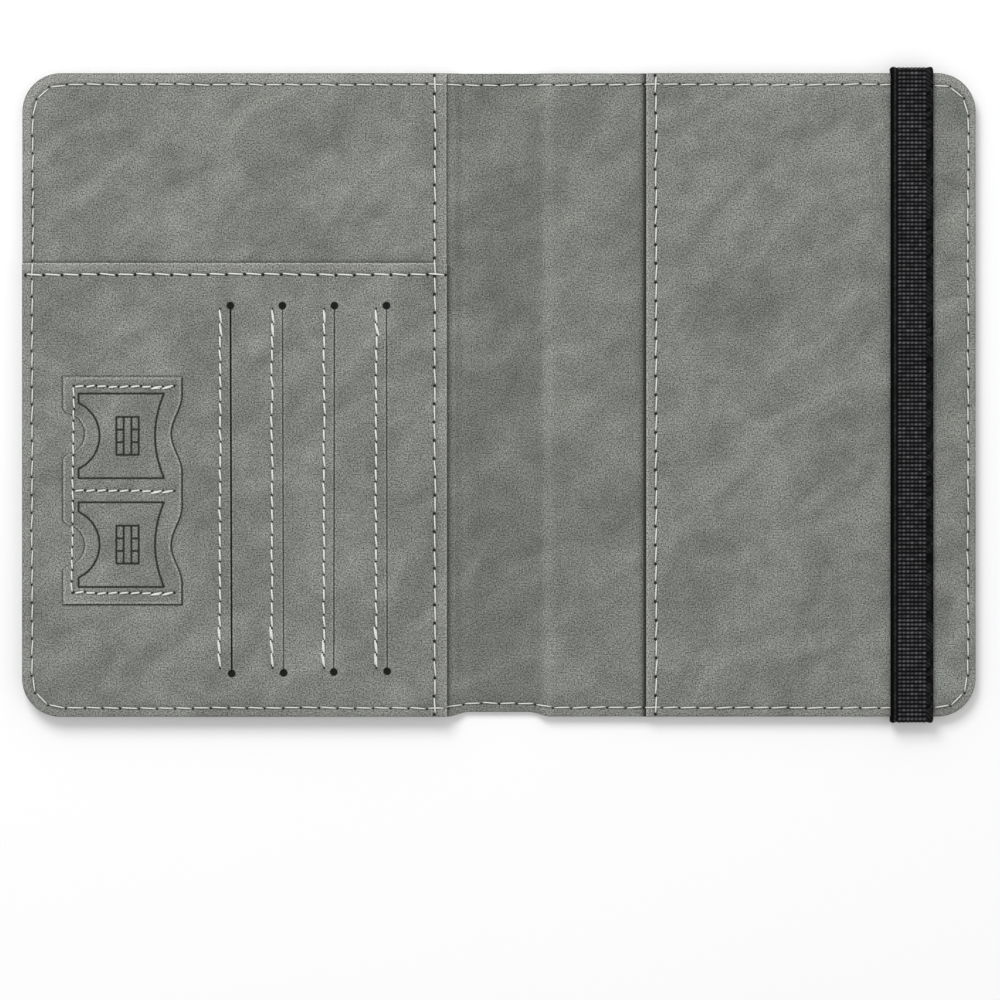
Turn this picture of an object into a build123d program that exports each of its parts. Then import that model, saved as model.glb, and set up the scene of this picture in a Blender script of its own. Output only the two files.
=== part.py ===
from build123d import *

import os

# Passport holder wallet, laid open and flat with its inside facing up, in millimetres.
# X runs across the open wallet (front cover on -X, back cover on +X), Y runs along the spine,
# Z is up. The origin is the middle of the open wallet, on the face that it rests on.
# The front cover folds over on two lines, one at each side of the spine.

# ---- Driving dimensions -------------------------------------------------------------------
OPEN_WIDTH = 222.2
HEIGHT = 150.0
CORNER_RADIUS = 9.0
FOLD_SPACING = 9.0

OUTER_LEATHER = 1.0
BOARD = 0.8
FOIL = 0.15
LINING = 0.6
POCKET_LEATHER = 0.6
CARD_LINER = 0.15
SLEEVE_LEATHER = 0.7
FOLD_GAP = 0.3

HEM_WIDTH = 4.0
BOARD_INNER_X = 10.7
BOARD_MARGIN = 4.3
FOIL_MARGIN = 6.0
LINING_RAMP = 2.5
SPINE_TRIM = 1.0
TRIM_FULL_X = 7.0
TRIM_NONE_X = 12.0

BOARDING_EDGE_X = 12.5
CARD_PANEL_EDGE_X = 12.1
CARD_PANEL_TOP_Y = 30.7
SLEEVE_EDGE_X = 34.3

SLIT_COUNT = 4
FIRST_SLIT_X = -62.5
SLIT_SPACING = 12.1
SLIT_TOP_Y = 20.7
SLIT_BOTTOM_Y = -64.6
SLIT_WIDTH = 0.3
PUNCH_DIAMETER = 1.8
LINER_DEPTH = 43.0
LINER_LIP = 1.5
LINER_MARGIN = 2.0

SIM_LEFT_X = -101.7
SIM_RIGHT_X = -73.8
SIM_TOP_Y = 4.4
SIM_BOTTOM_Y = -48.8
SIM_NOTCH_X = -96.4
SIM_NOTCH_HALF = 5.2
SIM_WAVE_X = -76.3
SIM_WAVE_HALF = 9.0
SIM_SLOT_YS = (-9.1, -35.0)

BAND_WIDTH = 10.0
BAND_THICKNESS = 1.0
BAND_X = 96.1
BAND_CLEARANCE = 0.35
BAND_OVERHANG = 1.4
BAND_EDGE_GAP = 0.25
BAND_PART_GAP = 0.1

SEAM_INSET = 2.3
THREAD_WIDTH = 0.5
THREAD_HEIGHT = 0.2
THREAD_ROOM = 0.15
GROOVE_WIDTH = 0.9
GROOVE_DEPTH = 0.3
POCKET_SEAM_X = 14.9
PANEL_SEAM_Y = 28.0
SLEEVE_SEAM_X = 36.6
SLIT_SEAM_OFFSET = 2.4
SLIT_SEAM_TOP_Y = 20.0
SLIT_SEAM_BOTTOM_Y = -63.6
SIM_SEAM_LEFT_X = -99.1
SIM_SEAM_RIGHT_X = -75.5
SIM_SEAM_YS = (2.0, -22.2, -46.1)

DEBOSS_DEPTH = 0.15
PLANE_X = -54.5
PLANE_Y = 21.0
PLANE_LENGTH = 21.0
PLANE_SPAN = 20.5
FUSELAGE_WIDTH = 2.2
ORNAMENT_COUNT = 7
ORNAMENT_SPACING = 11.0
ORNAMENT_X = -57.0
ORNAMENT_Y = 44.5
ORNAMENT_HEIGHT = 10.0
ORNAMENT_WIDTH = 7.0
RULE_X = -57.3
RULE_Y = -49.2
RULE_LENGTH = 33.0
RULE_WIDTH = 0.7
RULE_SPACING = 2.6

# ---- Worked out from them -----------------------------------------------------------------
half_width = OPEN_WIDTH / 2
half_height = HEIGHT / 2
fold_x = FOLD_SPACING / 2
spine_thickness = OUTER_LEATHER + LINING
fold_z = spine_thickness / 2
cover_inner_x = fold_x + spine_thickness / 2 + FOLD_GAP

board_top = OUTER_LEATHER + BOARD
foil_top = board_top + FOIL
hem_height = BOARD + FOIL
lining_top = foil_top + LINING
boarding_top = lining_top + POCKET_LEATHER
card_panel_bottom = boarding_top + SLIT_COUNT * CARD_LINER
card_panel_top = card_panel_bottom + POCKET_LEATHER
sim_top = card_panel_top + POCKET_LEATHER
sleeve_top = lining_top + SLEEVE_LEATHER
band_bottom = sleeve_top + BAND_CLEARANCE
band_top = band_bottom + BAND_THICKNESS
slit_xs = [FIRST_SLIT_X + SLIT_SPACING * i for i in range(SLIT_COUNT)]
seam_y = half_height - SEAM_INSET
seam_clear = THREAD_WIDTH / 2 + THREAD_ROOM

os.makedirs("parts", exist_ok=True)


def finish_piece(builder, name):
    """Label the piece and write its STEP file."""
    builder.part.label = name
    export_step(builder.part, f"parts/{name}.step")


def cover_outline(side, inner_x, inset=0.0):
    """Face of one cover from inner_x to its free edge, shrunk by inset on its three free sides.

    The lower edge steps up by SPINE_TRIM where the cover reaches into the spine zone.
    """
    outer_x = half_width - inset
    edge_y = half_height - inset
    corners = [(inner_x, edge_y), (outer_x, edge_y), (outer_x, -edge_y)]
    if inner_x < TRIM_FULL_X:
        corners += [(TRIM_NONE_X, -edge_y), (TRIM_FULL_X, SPINE_TRIM - edge_y)]
        corners += [(inner_x, SPINE_TRIM - edge_y)]
    else:
        corners += [(inner_x, -edge_y)]
    with BuildSketch() as outline:
        with BuildLine():
            Polyline(*[(side * x, y) for x, y in corners], close=True)
        make_face()
        free_corners = outline.vertices().group_by(Axis.X)[-1 if side > 0 else 0]
        fillet(free_corners, CORNER_RADIUS - inset)
    return outline.sketch


def edge_ring(side, inner_x, width):
    """Strip of the given width that follows the edge seam round one cover."""
    with BuildSketch() as ring:
        add(cover_outline(side, inner_x, SEAM_INSET - width / 2))
        add(cover_outline(side, inner_x, SEAM_INSET + width / 2), mode=Mode.SUBTRACT)
    return ring.sketch


def thread_run(start, end):
    """Straight strip of thread between two points that share an x or a y."""
    run_x = abs(end[0] - start[0])
    run_y = abs(end[1] - start[1])
    with BuildSketch() as run:
        with Locations(((start[0] + end[0]) / 2, (start[1] + end[1]) / 2)):
            Rectangle(max(run_x, THREAD_WIDTH), max(run_y, THREAD_WIDTH))
    return run.sketch


def rectangle_between(x_low, x_high, y_low, y_high):
    """Rectangle face given by its limits."""
    with BuildSketch() as box:
        with Locations(((x_low + x_high) / 2, (y_low + y_high) / 2)):
            Rectangle(x_high - x_low, y_high - y_low)
    return box.sketch


# ---- Debossed art on the outside of the front cover ------------------------------------------
# A plain aeroplane whose nose points at the spine, a row of lozenges and rings above it,
# and a pair of short rules near the bottom edge.
with BuildSketch() as aeroplane:
    with Locations((PLANE_X, PLANE_Y)):
        SlotOverall(PLANE_LENGTH, FUSELAGE_WIDTH)
    wing_root_x = PLANE_X + 0.20 * PLANE_LENGTH
    wing_tip_x = PLANE_X - 0.17 * PLANE_LENGTH
    tail_root_x = PLANE_X - 0.34 * PLANE_LENGTH
    tail_tip_x = PLANE_X - PLANE_LENGTH / 2
    for wing_side in (-1, 1):
        tip_y = PLANE_Y + wing_side * PLANE_SPAN / 2
        fin_y = PLANE_Y + wing_side * PLANE_SPAN * 0.18
        with BuildLine():
            Polyline(
                (wing_root_x, PLANE_Y),
                (wing_tip_x + 1.4, tip_y),
                (wing_tip_x, tip_y),
                (wing_root_x - 4.6, PLANE_Y),
                close=True,
            )
        make_face()
        with BuildLine():
            Polyline(
                (tail_root_x, PLANE_Y),
                (tail_tip_x + 0.7, fin_y),
                (tail_tip_x - 0.2, fin_y),
                (tail_tip_x + 1.0, PLANE_Y),
                close=True,
            )
        make_face()

with BuildSketch() as ornaments:
    for i in range(ORNAMENT_COUNT):
        centre_x = ORNAMENT_X + (i - (ORNAMENT_COUNT - 1) / 2) * ORNAMENT_SPACING
        with Locations((centre_x, ORNAMENT_Y)):
            if i % 2 == 0:
                Polygon(
                    (0, ORNAMENT_HEIGHT / 2),
                    (ORNAMENT_WIDTH / 2, 0),
                    (0, -ORNAMENT_HEIGHT / 2),
                    (-ORNAMENT_WIDTH / 2, 0),
                )
                Polygon(
                    (0, ORNAMENT_HEIGHT / 4),
                    (ORNAMENT_WIDTH / 4, 0),
                    (0, -ORNAMENT_HEIGHT / 4),
                    (-ORNAMENT_WIDTH / 4, 0),
                    mode=Mode.SUBTRACT,
                )
            else:
                Circle(ORNAMENT_WIDTH / 2)
                Circle(ORNAMENT_WIDTH / 2 - 1.2, mode=Mode.SUBTRACT)

with BuildSketch() as rules:
    with Locations((RULE_X, RULE_Y - RULE_SPACING / 2), (RULE_X, RULE_Y + RULE_SPACING / 2)):
        SlotOverall(RULE_LENGTH, RULE_WIDTH)

# ---- Outer leather of the two covers ---------------------------------------------------------
# Flat skin with a turned hem on the three free sides, which frames the board. The hem has a
# break on the back cover where the ends of the elastic are sewn in.
for side, cover in ((-1, "front"), (1, "back")):
    with BuildPart() as outer:
        with BuildSketch():
            add(cover_outline(side, cover_inner_x))
        extrude(amount=OUTER_LEATHER)
        with BuildSketch(Plane.XY.offset(OUTER_LEATHER)):
            add(cover_outline(side, BOARD_INNER_X))
            add(cover_outline(side, BOARD_INNER_X - 1, HEM_WIDTH), mode=Mode.SUBTRACT)
            if cover == "back":
                with Locations((BAND_X, 0)):
                    Rectangle(BAND_WIDTH, HEIGHT, mode=Mode.SUBTRACT)
        extrude(amount=hem_height)
        with BuildSketch():
            add(edge_ring(side, cover_inner_x, GROOVE_WIDTH))
        extrude(amount=GROOVE_DEPTH, mode=Mode.SUBTRACT)
        if cover == "front":
            with BuildSketch():
                add(aeroplane.sketch)
                add(ornaments.sketch)
                add(rules.sketch)
            extrude(amount=DEBOSS_DEPTH, mode=Mode.SUBTRACT)
    finish_piece(outer, f"outer_{cover}")

# ---- Stiffening boards and the signal-blocking foil on them ----------------------------------
for side, cover in ((-1, "front"), (1, "back")):
    with BuildPart() as board:
        with BuildSketch(Plane.XY.offset(OUTER_LEATHER)):
            add(cover_outline(side, BOARD_INNER_X, BOARD_MARGIN))
        extrude(amount=BOARD)
    finish_piece(board, f"board_{cover}")

    with BuildPart() as foil:
        with BuildSketch(Plane.XY.offset(board_top)):
            add(cover_outline(side, BOARD_INNER_X + 1, FOIL_MARGIN))
        extrude(amount=FOIL)
    finish_piece(foil, f"rfid_{cover}")

# ---- Lining of the two covers ----------------------------------------------------------------
# It lies on the hem and the board, and ramps down to the outer leather beside the spine. The
# ramp is a profile in XZ carried along Y, cut to the cover's outline.
for side, cover in ((-1, "front"), (1, "back")):
    with BuildPart() as lining:
        with BuildSketch(Plane.XZ):
            with BuildLine():
                Polyline(
                    (side * cover_inner_x, OUTER_LEATHER),
                    (side * (BOARD_INNER_X - LINING_RAMP), OUTER_LEATHER),
                    (side * (BOARD_INNER_X - 0.2), foil_top),
                    (side * half_width, foil_top),
                    (side * half_width, lining_top),
                    (side * (BOARD_INNER_X - 0.2), lining_top),
                    (side * (BOARD_INNER_X - LINING_RAMP), spine_thickness),
                    (side * cover_inner_x, spine_thickness),
                    close=True,
                )
            make_face()
        extrude(amount=half_height, both=True)
        with BuildSketch():
            add(cover_outline(side, cover_inner_x))
        extrude(amount=lining_top, mode=Mode.INTERSECT)
    finish_piece(lining, f"lining_{cover}")

# ---- Spine: the strip of outer leather and lining between the two fold lines ------------------
# Each long edge is rounded about its fold line, so the strip turns there without touching.
spine_layers = (("outer_spine", 0.0, OUTER_LEATHER), ("lining_spine", OUTER_LEATHER, spine_thickness))
for name, z_low, z_high in spine_layers:
    with BuildPart() as spine:
        with BuildSketch(Plane.XZ):
            with Locations((0, fold_z)):
                SlotCenterToCenter(FOLD_SPACING, spine_thickness)
            add(rectangle_between(-half_width, half_width, z_low, z_high), mode=Mode.INTERSECT)
        extrude(amount=half_height, both=True)
        with BuildSketch():
            add(rectangle_between(-fold_x - fold_z, fold_x + fold_z, SPINE_TRIM - half_height, half_height))
        extrude(amount=spine_thickness, mode=Mode.INTERSECT)
        if name == "outer_spine":
            with BuildSketch():
                with Locations((0, seam_y), (0, SPINE_TRIM - seam_y)):
                    Rectangle(2 * cover_inner_x, GROOVE_WIDTH)
            extrude(amount=GROOVE_DEPTH, mode=Mode.SUBTRACT)
    finish_piece(spine, name)

# ---- Boarding-pass pocket: the full-height leather panel inside the front cover ---------------
with BuildPart() as boarding_pocket:
    with BuildSketch(Plane.XY.offset(lining_top)):
        add(cover_outline(-1, BOARDING_EDGE_X))
    extrude(amount=POCKET_LEATHER)
finish_piece(boarding_pocket, "boarding_pocket")

# ---- Card panel: four long slits, each ending in two punched holes ---------------------------
# Its turned edge reaches down to the boarding pocket on the free side, the bottom and the mouth.
with BuildPart() as card_slot_panel:
    below_top_edge = rectangle_between(-half_width, 0, -half_height, CARD_PANEL_TOP_Y)
    with BuildSketch(Plane.XY.offset(card_panel_bottom)):
        add(cover_outline(-1, CARD_PANEL_EDGE_X))
        add(below_top_edge, mode=Mode.INTERSECT)
    extrude(amount=POCKET_LEATHER)
    with BuildSketch(Plane.XY.offset(boarding_top)):
        add(cover_outline(-1, BOARDING_EDGE_X))
        add(cover_outline(-1, BOARDING_EDGE_X + HEM_WIDTH, HEM_WIDTH), mode=Mode.SUBTRACT)
        add(below_top_edge, mode=Mode.INTERSECT)
    extrude(amount=card_panel_bottom - boarding_top)
    slit_length = SLIT_TOP_Y - SLIT_BOTTOM_Y
    slit_middle_y = (SLIT_TOP_Y + SLIT_BOTTOM_Y) / 2
    with BuildSketch(Plane.XY.offset(card_panel_bottom)):
        for slit_x in slit_xs:
            with Locations((slit_x, slit_middle_y)):
                Rectangle(SLIT_WIDTH, slit_length)
            with Locations((slit_x, SLIT_TOP_Y), (slit_x, SLIT_BOTTOM_Y)):
                Circle(PUNCH_DIAMETER / 2)
    extrude(amount=POCKET_LEATHER, mode=Mode.SUBTRACT)
finish_piece(card_slot_panel, "card_slot_panel")

# ---- Card liners: a thin fabric pouch behind each slit, stacked like roof tiles ---------------
for i, slit_x in enumerate(slit_xs):
    liner_top = card_panel_bottom - i * CARD_LINER
    with BuildPart() as card_liner:
        with BuildSketch(Plane.XY.offset(liner_top - CARD_LINER)):
            liner_left = slit_x - LINER_DEPTH
            liner_right = slit_x + LINER_LIP
            add(rectangle_between(liner_left, liner_right, SLIT_BOTTOM_Y - LINER_MARGIN, SLIT_TOP_Y + LINER_MARGIN))
        extrude(amount=CARD_LINER)
    finish_piece(card_liner, f"card_liner_{i + 1}")

# ---- SIM-card pocket: a small patch with two finger notches and a wavy open side --------------
with BuildPart() as sim_pocket:
    with BuildSketch(Plane.XY.offset(card_panel_top)) as patch:
        with BuildLine():
            corner = (SIM_RIGHT_X, SIM_TOP_Y)
            Line((SIM_LEFT_X, SIM_TOP_Y), corner)
            for slot_y in SIM_SLOT_YS:
                Line(corner, (SIM_RIGHT_X, slot_y + SIM_WAVE_HALF))
                ThreePointArc(
                    (SIM_RIGHT_X, slot_y + SIM_WAVE_HALF),
                    (SIM_WAVE_X, slot_y),
                    (SIM_RIGHT_X, slot_y - SIM_WAVE_HALF),
                )
                corner = (SIM_RIGHT_X, slot_y - SIM_WAVE_HALF)
            Line(corner, (SIM_RIGHT_X, SIM_BOTTOM_Y))
            corner = (SIM_LEFT_X, SIM_BOTTOM_Y)
            Line((SIM_RIGHT_X, SIM_BOTTOM_Y), corner)
            for slot_y in reversed(SIM_SLOT_YS):
                Line(corner, (SIM_LEFT_X, slot_y - SIM_NOTCH_HALF))
                ThreePointArc(
                    (SIM_LEFT_X, slot_y - SIM_NOTCH_HALF),
                    (SIM_NOTCH_X, slot_y),
                    (SIM_LEFT_X, slot_y + SIM_NOTCH_HALF),
                )
                corner = (SIM_LEFT_X, slot_y + SIM_NOTCH_HALF)
            Line(corner, (SIM_LEFT_X, SIM_TOP_Y))
        make_face()
    extrude(amount=POCKET_LEATHER)
finish_piece(sim_pocket, "sim_pocket")

# ---- Passport sleeve: the panel inside the back cover, open towards the spine -----------------
with BuildPart() as passport_sleeve:
    with BuildSketch(Plane.XY.offset(lining_top)):
        add(cover_outline(1, SLEEVE_EDGE_X))
    extrude(amount=SLEEVE_LEATHER)
finish_piece(passport_sleeve, "passport_sleeve")

# ---- Elastic band: one loop of woven elastic, split where it moves ---------------------------
# The tabs are sewn into the hem of the back cover, the wraps turn up round its top and bottom
# edges, and the strand lies across it.
with BuildPart() as band_strand:
    with BuildSketch(Plane.XY.offset(band_bottom)):
        with Locations((BAND_X, 0)):
            Rectangle(BAND_WIDTH, 2 * (half_height + BAND_EDGE_GAP - BAND_PART_GAP))
    extrude(amount=BAND_THICKNESS)
finish_piece(band_strand, "band_strand")

for edge_side, edge_name in ((1, "top"), (-1, "bottom")):
    wrap_inner_y = edge_side * (half_height + BAND_EDGE_GAP)
    wrap_outer_y = edge_side * (half_height + BAND_OVERHANG)
    with BuildPart() as band_wrap:
        with BuildSketch(Plane.YZ.offset(BAND_X - BAND_WIDTH / 2)) as wrap_profile:
            y_low = min(wrap_inner_y, wrap_outer_y)
            y_high = max(wrap_inner_y, wrap_outer_y)
            add(rectangle_between(y_low, y_high, OUTER_LEATHER, band_top))
            outer_corners = wrap_profile.vertices().group_by(Axis.X)[-1 if edge_side > 0 else 0]
            fillet(outer_corners, 0.8 * BAND_THICKNESS)
        extrude(amount=BAND_WIDTH)
    finish_piece(band_wrap, f"band_wrap_{edge_name}")

    with BuildPart() as band_tab:
        with BuildSketch(Plane.XY.offset(OUTER_LEATHER)):
            with Locations((BAND_X, edge_side * (half_height - HEM_WIDTH / 2))):
                Rectangle(BAND_WIDTH, HEM_WIDTH)
        extrude(amount=hem_height)
    finish_piece(band_tab, f"band_tab_{edge_name}")

# ---- Thread ----------------------------------------------------------------------------------
# Each seam is a low strip where its stitches lie. The edge seam shows on both faces: its lower
# thread lies in a groove of the outer leather. A seam stops short of each seam that it crosses.
with BuildPart() as seam_front_edge:
    with BuildSketch(Plane.XY.offset(card_panel_top)):
        add(edge_ring(-1, CARD_PANEL_EDGE_X, THREAD_WIDTH))
        add(
            rectangle_between(-half_width, 0, -half_height, CARD_PANEL_TOP_Y - THREAD_ROOM),
            mode=Mode.INTERSECT,
        )
    extrude(amount=THREAD_HEIGHT)
    with BuildSketch(Plane.XY.offset(boarding_top)):
        add(edge_ring(-1, BOARDING_EDGE_X, THREAD_WIDTH))
        add(
            rectangle_between(-half_width, 0, CARD_PANEL_TOP_Y + THREAD_ROOM, half_height),
            mode=Mode.INTERSECT,
        )
    extrude(amount=THREAD_HEIGHT)
    with BuildSketch(Plane.XY.offset(GROOVE_DEPTH - THREAD_HEIGHT)):
        add(edge_ring(-1, cover_inner_x, THREAD_WIDTH))
    extrude(amount=THREAD_HEIGHT)
finish_piece(seam_front_edge, "seam_front_edge")

with BuildPart() as seam_back_edge:
    with BuildSketch(Plane.XY.offset(sleeve_top)):
        add(edge_ring(1, SLEEVE_EDGE_X, THREAD_WIDTH))
    extrude(amount=THREAD_HEIGHT)
    with BuildSketch(Plane.XY.offset(lining_top)):
        add(edge_ring(1, BOARD_INNER_X, THREAD_WIDTH))
        add(
            rectangle_between(BOARD_INNER_X, SLEEVE_EDGE_X - THREAD_ROOM, -half_height, half_height),
            mode=Mode.INTERSECT,
        )
    extrude(amount=THREAD_HEIGHT)
    with BuildSketch(Plane.XY.offset(GROOVE_DEPTH - THREAD_HEIGHT)):
        add(edge_ring(1, cover_inner_x, THREAD_WIDTH))
    extrude(amount=THREAD_HEIGHT)
finish_piece(seam_back_edge, "seam_back_edge")

with BuildPart() as seam_spine:
    for thread_z in (spine_thickness, GROOVE_DEPTH - THREAD_HEIGHT):
        with BuildSketch(Plane.XY.offset(thread_z)):
            with Locations((0, seam_y), (0, SPINE_TRIM - seam_y)):
                Rectangle(FOLD_SPACING - 2 * THREAD_ROOM, THREAD_WIDTH)
        extrude(amount=THREAD_HEIGHT)
finish_piece(seam_spine, "seam_spine")

with BuildPart() as seam_pocket_edge:
    with BuildSketch(Plane.XY.offset(card_panel_top)):
        low_end = (-POCKET_SEAM_X, seam_clear - seam_y)
        add(thread_run(low_end, (-POCKET_SEAM_X, PANEL_SEAM_Y - seam_clear)))
        add(
            thread_run(
                (-POCKET_SEAM_X, PANEL_SEAM_Y + seam_clear),
                (-POCKET_SEAM_X, CARD_PANEL_TOP_Y - THREAD_ROOM),
            )
        )
    extrude(amount=THREAD_HEIGHT)
    with BuildSketch(Plane.XY.offset(boarding_top)):
        high_end = (-POCKET_SEAM_X, seam_y - seam_clear)
        add(thread_run((-POCKET_SEAM_X, CARD_PANEL_TOP_Y + THREAD_ROOM), high_end))
    extrude(amount=THREAD_HEIGHT)
finish_piece(seam_pocket_edge, "seam_pocket_edge")

with BuildPart() as seam_card_panel_top:
    with BuildSketch(Plane.XY.offset(card_panel_top)):
        free_end = (SEAM_INSET + seam_clear - half_width, PANEL_SEAM_Y)
        add(thread_run(free_end, (-CARD_PANEL_EDGE_X - THREAD_ROOM, PANEL_SEAM_Y)))
    extrude(amount=THREAD_HEIGHT)
finish_piece(seam_card_panel_top, "seam_card_panel_top")

for i, slit_x in enumerate(slit_xs):
    seam_x = slit_x - SLIT_SEAM_OFFSET
    with BuildPart() as seam_slot:
        with BuildSketch(Plane.XY.offset(card_panel_top)):
            add(thread_run((seam_x, SLIT_SEAM_BOTTOM_Y), (seam_x, SLIT_SEAM_TOP_Y)))
        extrude(amount=THREAD_HEIGHT)
    finish_piece(seam_slot, f"seam_slot_{i + 1}")

with BuildPart() as seam_sim:
    with BuildSketch(Plane.XY.offset(sim_top)):
        for run_y in SIM_SEAM_YS:
            add(thread_run((SIM_SEAM_LEFT_X, run_y), (SIM_SEAM_RIGHT_X, run_y)))
        add(thread_run((SIM_SEAM_LEFT_X, SIM_SEAM_YS[0]), (SIM_SEAM_LEFT_X, SIM_SEAM_YS[-1])))
        for slot_y in SIM_SLOT_YS:
            add(
                rectangle_between(
                    SIM_LEFT_X,
                    SIM_NOTCH_X,
                    slot_y - SIM_NOTCH_HALF,
                    slot_y + SIM_NOTCH_HALF,
                ),
                mode=Mode.SUBTRACT,
            )
    extrude(amount=THREAD_HEIGHT)
finish_piece(seam_sim, "seam_sim")

with BuildPart() as seam_sleeve_edge:
    with BuildSketch(Plane.XY.offset(sleeve_top)):
        add(
            thread_run(
                (SLEEVE_SEAM_X, seam_clear - seam_y),
                (SLEEVE_SEAM_X, seam_y - seam_clear),
            )
        )
    extrude(amount=THREAD_HEIGHT)
finish_piece(seam_sleeve_edge, "seam_sleeve_edge")
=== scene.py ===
"""Leather, elastic and thread of a passport holder wallet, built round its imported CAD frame.

Lengths are in millimetres unless a name says otherwise, and become metres when a mesh is made.
X runs across the open wallet, Y along its spine and Z up out of its inside.
"""

import logging
from collections.abc import Callable, Sequence
from dataclasses import dataclass, field
from enum import Enum, IntEnum

import bpy
import numpy as np
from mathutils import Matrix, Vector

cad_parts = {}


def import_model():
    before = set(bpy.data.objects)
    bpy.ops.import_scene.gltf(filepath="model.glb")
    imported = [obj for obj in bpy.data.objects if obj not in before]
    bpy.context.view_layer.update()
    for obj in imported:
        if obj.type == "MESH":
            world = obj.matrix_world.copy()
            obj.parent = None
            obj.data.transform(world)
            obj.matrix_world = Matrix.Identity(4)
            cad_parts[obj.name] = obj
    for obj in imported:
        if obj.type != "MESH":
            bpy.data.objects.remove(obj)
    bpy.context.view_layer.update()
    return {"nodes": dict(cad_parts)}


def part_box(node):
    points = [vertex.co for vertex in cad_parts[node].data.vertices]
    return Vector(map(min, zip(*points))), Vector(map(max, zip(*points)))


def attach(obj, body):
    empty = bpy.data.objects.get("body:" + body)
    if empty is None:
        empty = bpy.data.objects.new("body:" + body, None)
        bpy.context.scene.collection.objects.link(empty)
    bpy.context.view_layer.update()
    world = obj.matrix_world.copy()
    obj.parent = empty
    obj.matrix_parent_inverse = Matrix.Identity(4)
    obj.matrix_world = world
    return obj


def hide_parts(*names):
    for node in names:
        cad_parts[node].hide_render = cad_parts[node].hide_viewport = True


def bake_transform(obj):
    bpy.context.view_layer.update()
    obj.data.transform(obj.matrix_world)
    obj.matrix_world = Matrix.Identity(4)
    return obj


LOG = logging.getLogger("wallet")
MM = 0.001
Array = np.ndarray
Heights = Callable[[Array, Array], Array]  # height of a surface at each x and y
Marks = Sequence[tuple[float, float, float]]  # (centre, reach, spacing) of dense bands in a grid
Place = tuple[float, float]  # x and y
FAR = 1e3  # farther than anything on the wallet
UNPRESSED = 9.0  # distance to a pressed shape, for leather that has none


# ---------------------------------------------------------------------------------------------
# Small tools
# ---------------------------------------------------------------------------------------------


def linear(hex_colour: str) -> tuple[float, float, float, float]:
    """Turn an sRGB hex colour into linear red, green, blue and an alpha of 1.

    Args:
        hex_colour: Six hex digits, with or without a leading #.

    Returns:
        The colour as Blender's sockets take it.
    """
    digits = hex_colour.lstrip("#")
    srgb = np.array([int(digits[i : i + 2], 16) for i in (0, 2, 4)]) / 255.0
    value = np.where(srgb <= 0.04045, srgb / 12.92, ((srgb + 0.055) / 1.055) ** 2.4)
    return (float(value[0]), float(value[1]), float(value[2]), 1.0)


def smooth(share: Array) -> Array:
    """Smoothstep of a share that is first held between 0 and 1."""
    held = np.clip(share, 0.0, 1.0)
    return held * held * (3.0 - 2.0 * held)


def dip(distance: Array, reach: float) -> Array:
    """Bell that is 1 at no distance and 1/e at the given reach."""
    return np.exp(-((distance / reach) ** 2))


def rolled(distance: Array, radius: float) -> Array:
    """Drop of a quarter round at an edge: the whole radius at the edge, none past the radius."""
    inside = radius - np.clip(distance, 0.0, radius)
    return radius - np.sqrt(np.maximum(radius**2 - inside**2, 0.0))


def grid_lines(low: float, high: float, coarse: float, marks: Marks) -> Array:
    """Place grid lines that are dense only where a feature needs them.

    Args:
        low: First line.
        high: Last line.
        coarse: Spacing away from every mark.
        marks: (centre, reach, spacing) of each dense band.

    Returns:
        Sorted line positions, with no two closer than 0.4 of the finest spacing.
    """
    lines = [np.linspace(low, high, max(2, int(round((high - low) / coarse)) + 1))]
    keep = np.ones_like(lines[0], bool)
    for centre, reach, _ in marks:
        keep &= np.abs(lines[0] - centre) > reach
    lines[0] = lines[0][keep]
    for centre, reach, step in marks:
        count = int(np.ceil(reach / step))
        lines.append(centre + np.arange(-count, count + 1) * step)
    every = np.unique(np.round(np.concatenate([*lines, [low, high]]), 4))
    every = every[(every >= low) & (every <= high)]
    closest = 0.4 * min([step for _, _, step in marks], default=coarse)
    chosen = [every[0]]
    for value in every[1:-1]:
        if value - chosen[-1] > closest and high - value > closest:
            chosen.append(value)
    return np.array([*chosen, high])


def distance_to_segment(x: Array, y: Array, start: Array, end: Array) -> Array:
    """Distance in the plane from each point to a straight segment.

    The point's share of the way along the segment, held between 0 and 1, gives the nearest place.

    Args:
        x: x of each point.
        y: y of each point.
        start: The segment's first end.
        end: Its last end.

    Returns:
        One distance for each point.
    """
    along = end - start
    share = ((x - start[0]) * along[0] + (y - start[1]) * along[1]) / max(float(along @ along), 1e-9)
    share = np.clip(share, 0.0, 1.0)
    return np.hypot(x - start[0] - share * along[0], y - start[1] - share * along[1])


def distance_to_path(x: Array, y: Array, path: Array) -> Array:
    """Distance in the plane from each point to a run of straight segments, corner to corner.

    Args:
        x: x of each point.
        y: y of each point.
        path: The run's corners in order.

    Returns:
        One distance for each point.
    """
    nearest = np.full(np.shape(x), FAR)
    for start, end in zip(path[:-1], path[1:]):
        nearest = np.minimum(nearest, distance_to_segment(x, y, start, end))
    return nearest


def inside_polygon(x: Array, y: Array, corners: Array) -> Array:
    """Find the points inside a closed polygon, by counting the edges that each looks across.

    Args:
        x: x of each point.
        y: y of each point.
        corners: The polygon's corners in order, the first not repeated.

    Returns:
        True for each point that lies inside.
    """
    crossed = np.zeros(np.shape(x), bool)
    for (x0, y0), (x1, y1) in zip(corners, np.roll(corners, -1, axis=0)):
        if y0 == y1:
            continue
        spans = (y0 > y) != (y1 > y)
        crossed ^= spans & (x < (x1 - x0) * (y - y0) / (y1 - y0) + x0)
    return crossed


# ---------------------------------------------------------------------------------------------
# Meshes
# ---------------------------------------------------------------------------------------------


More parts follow.
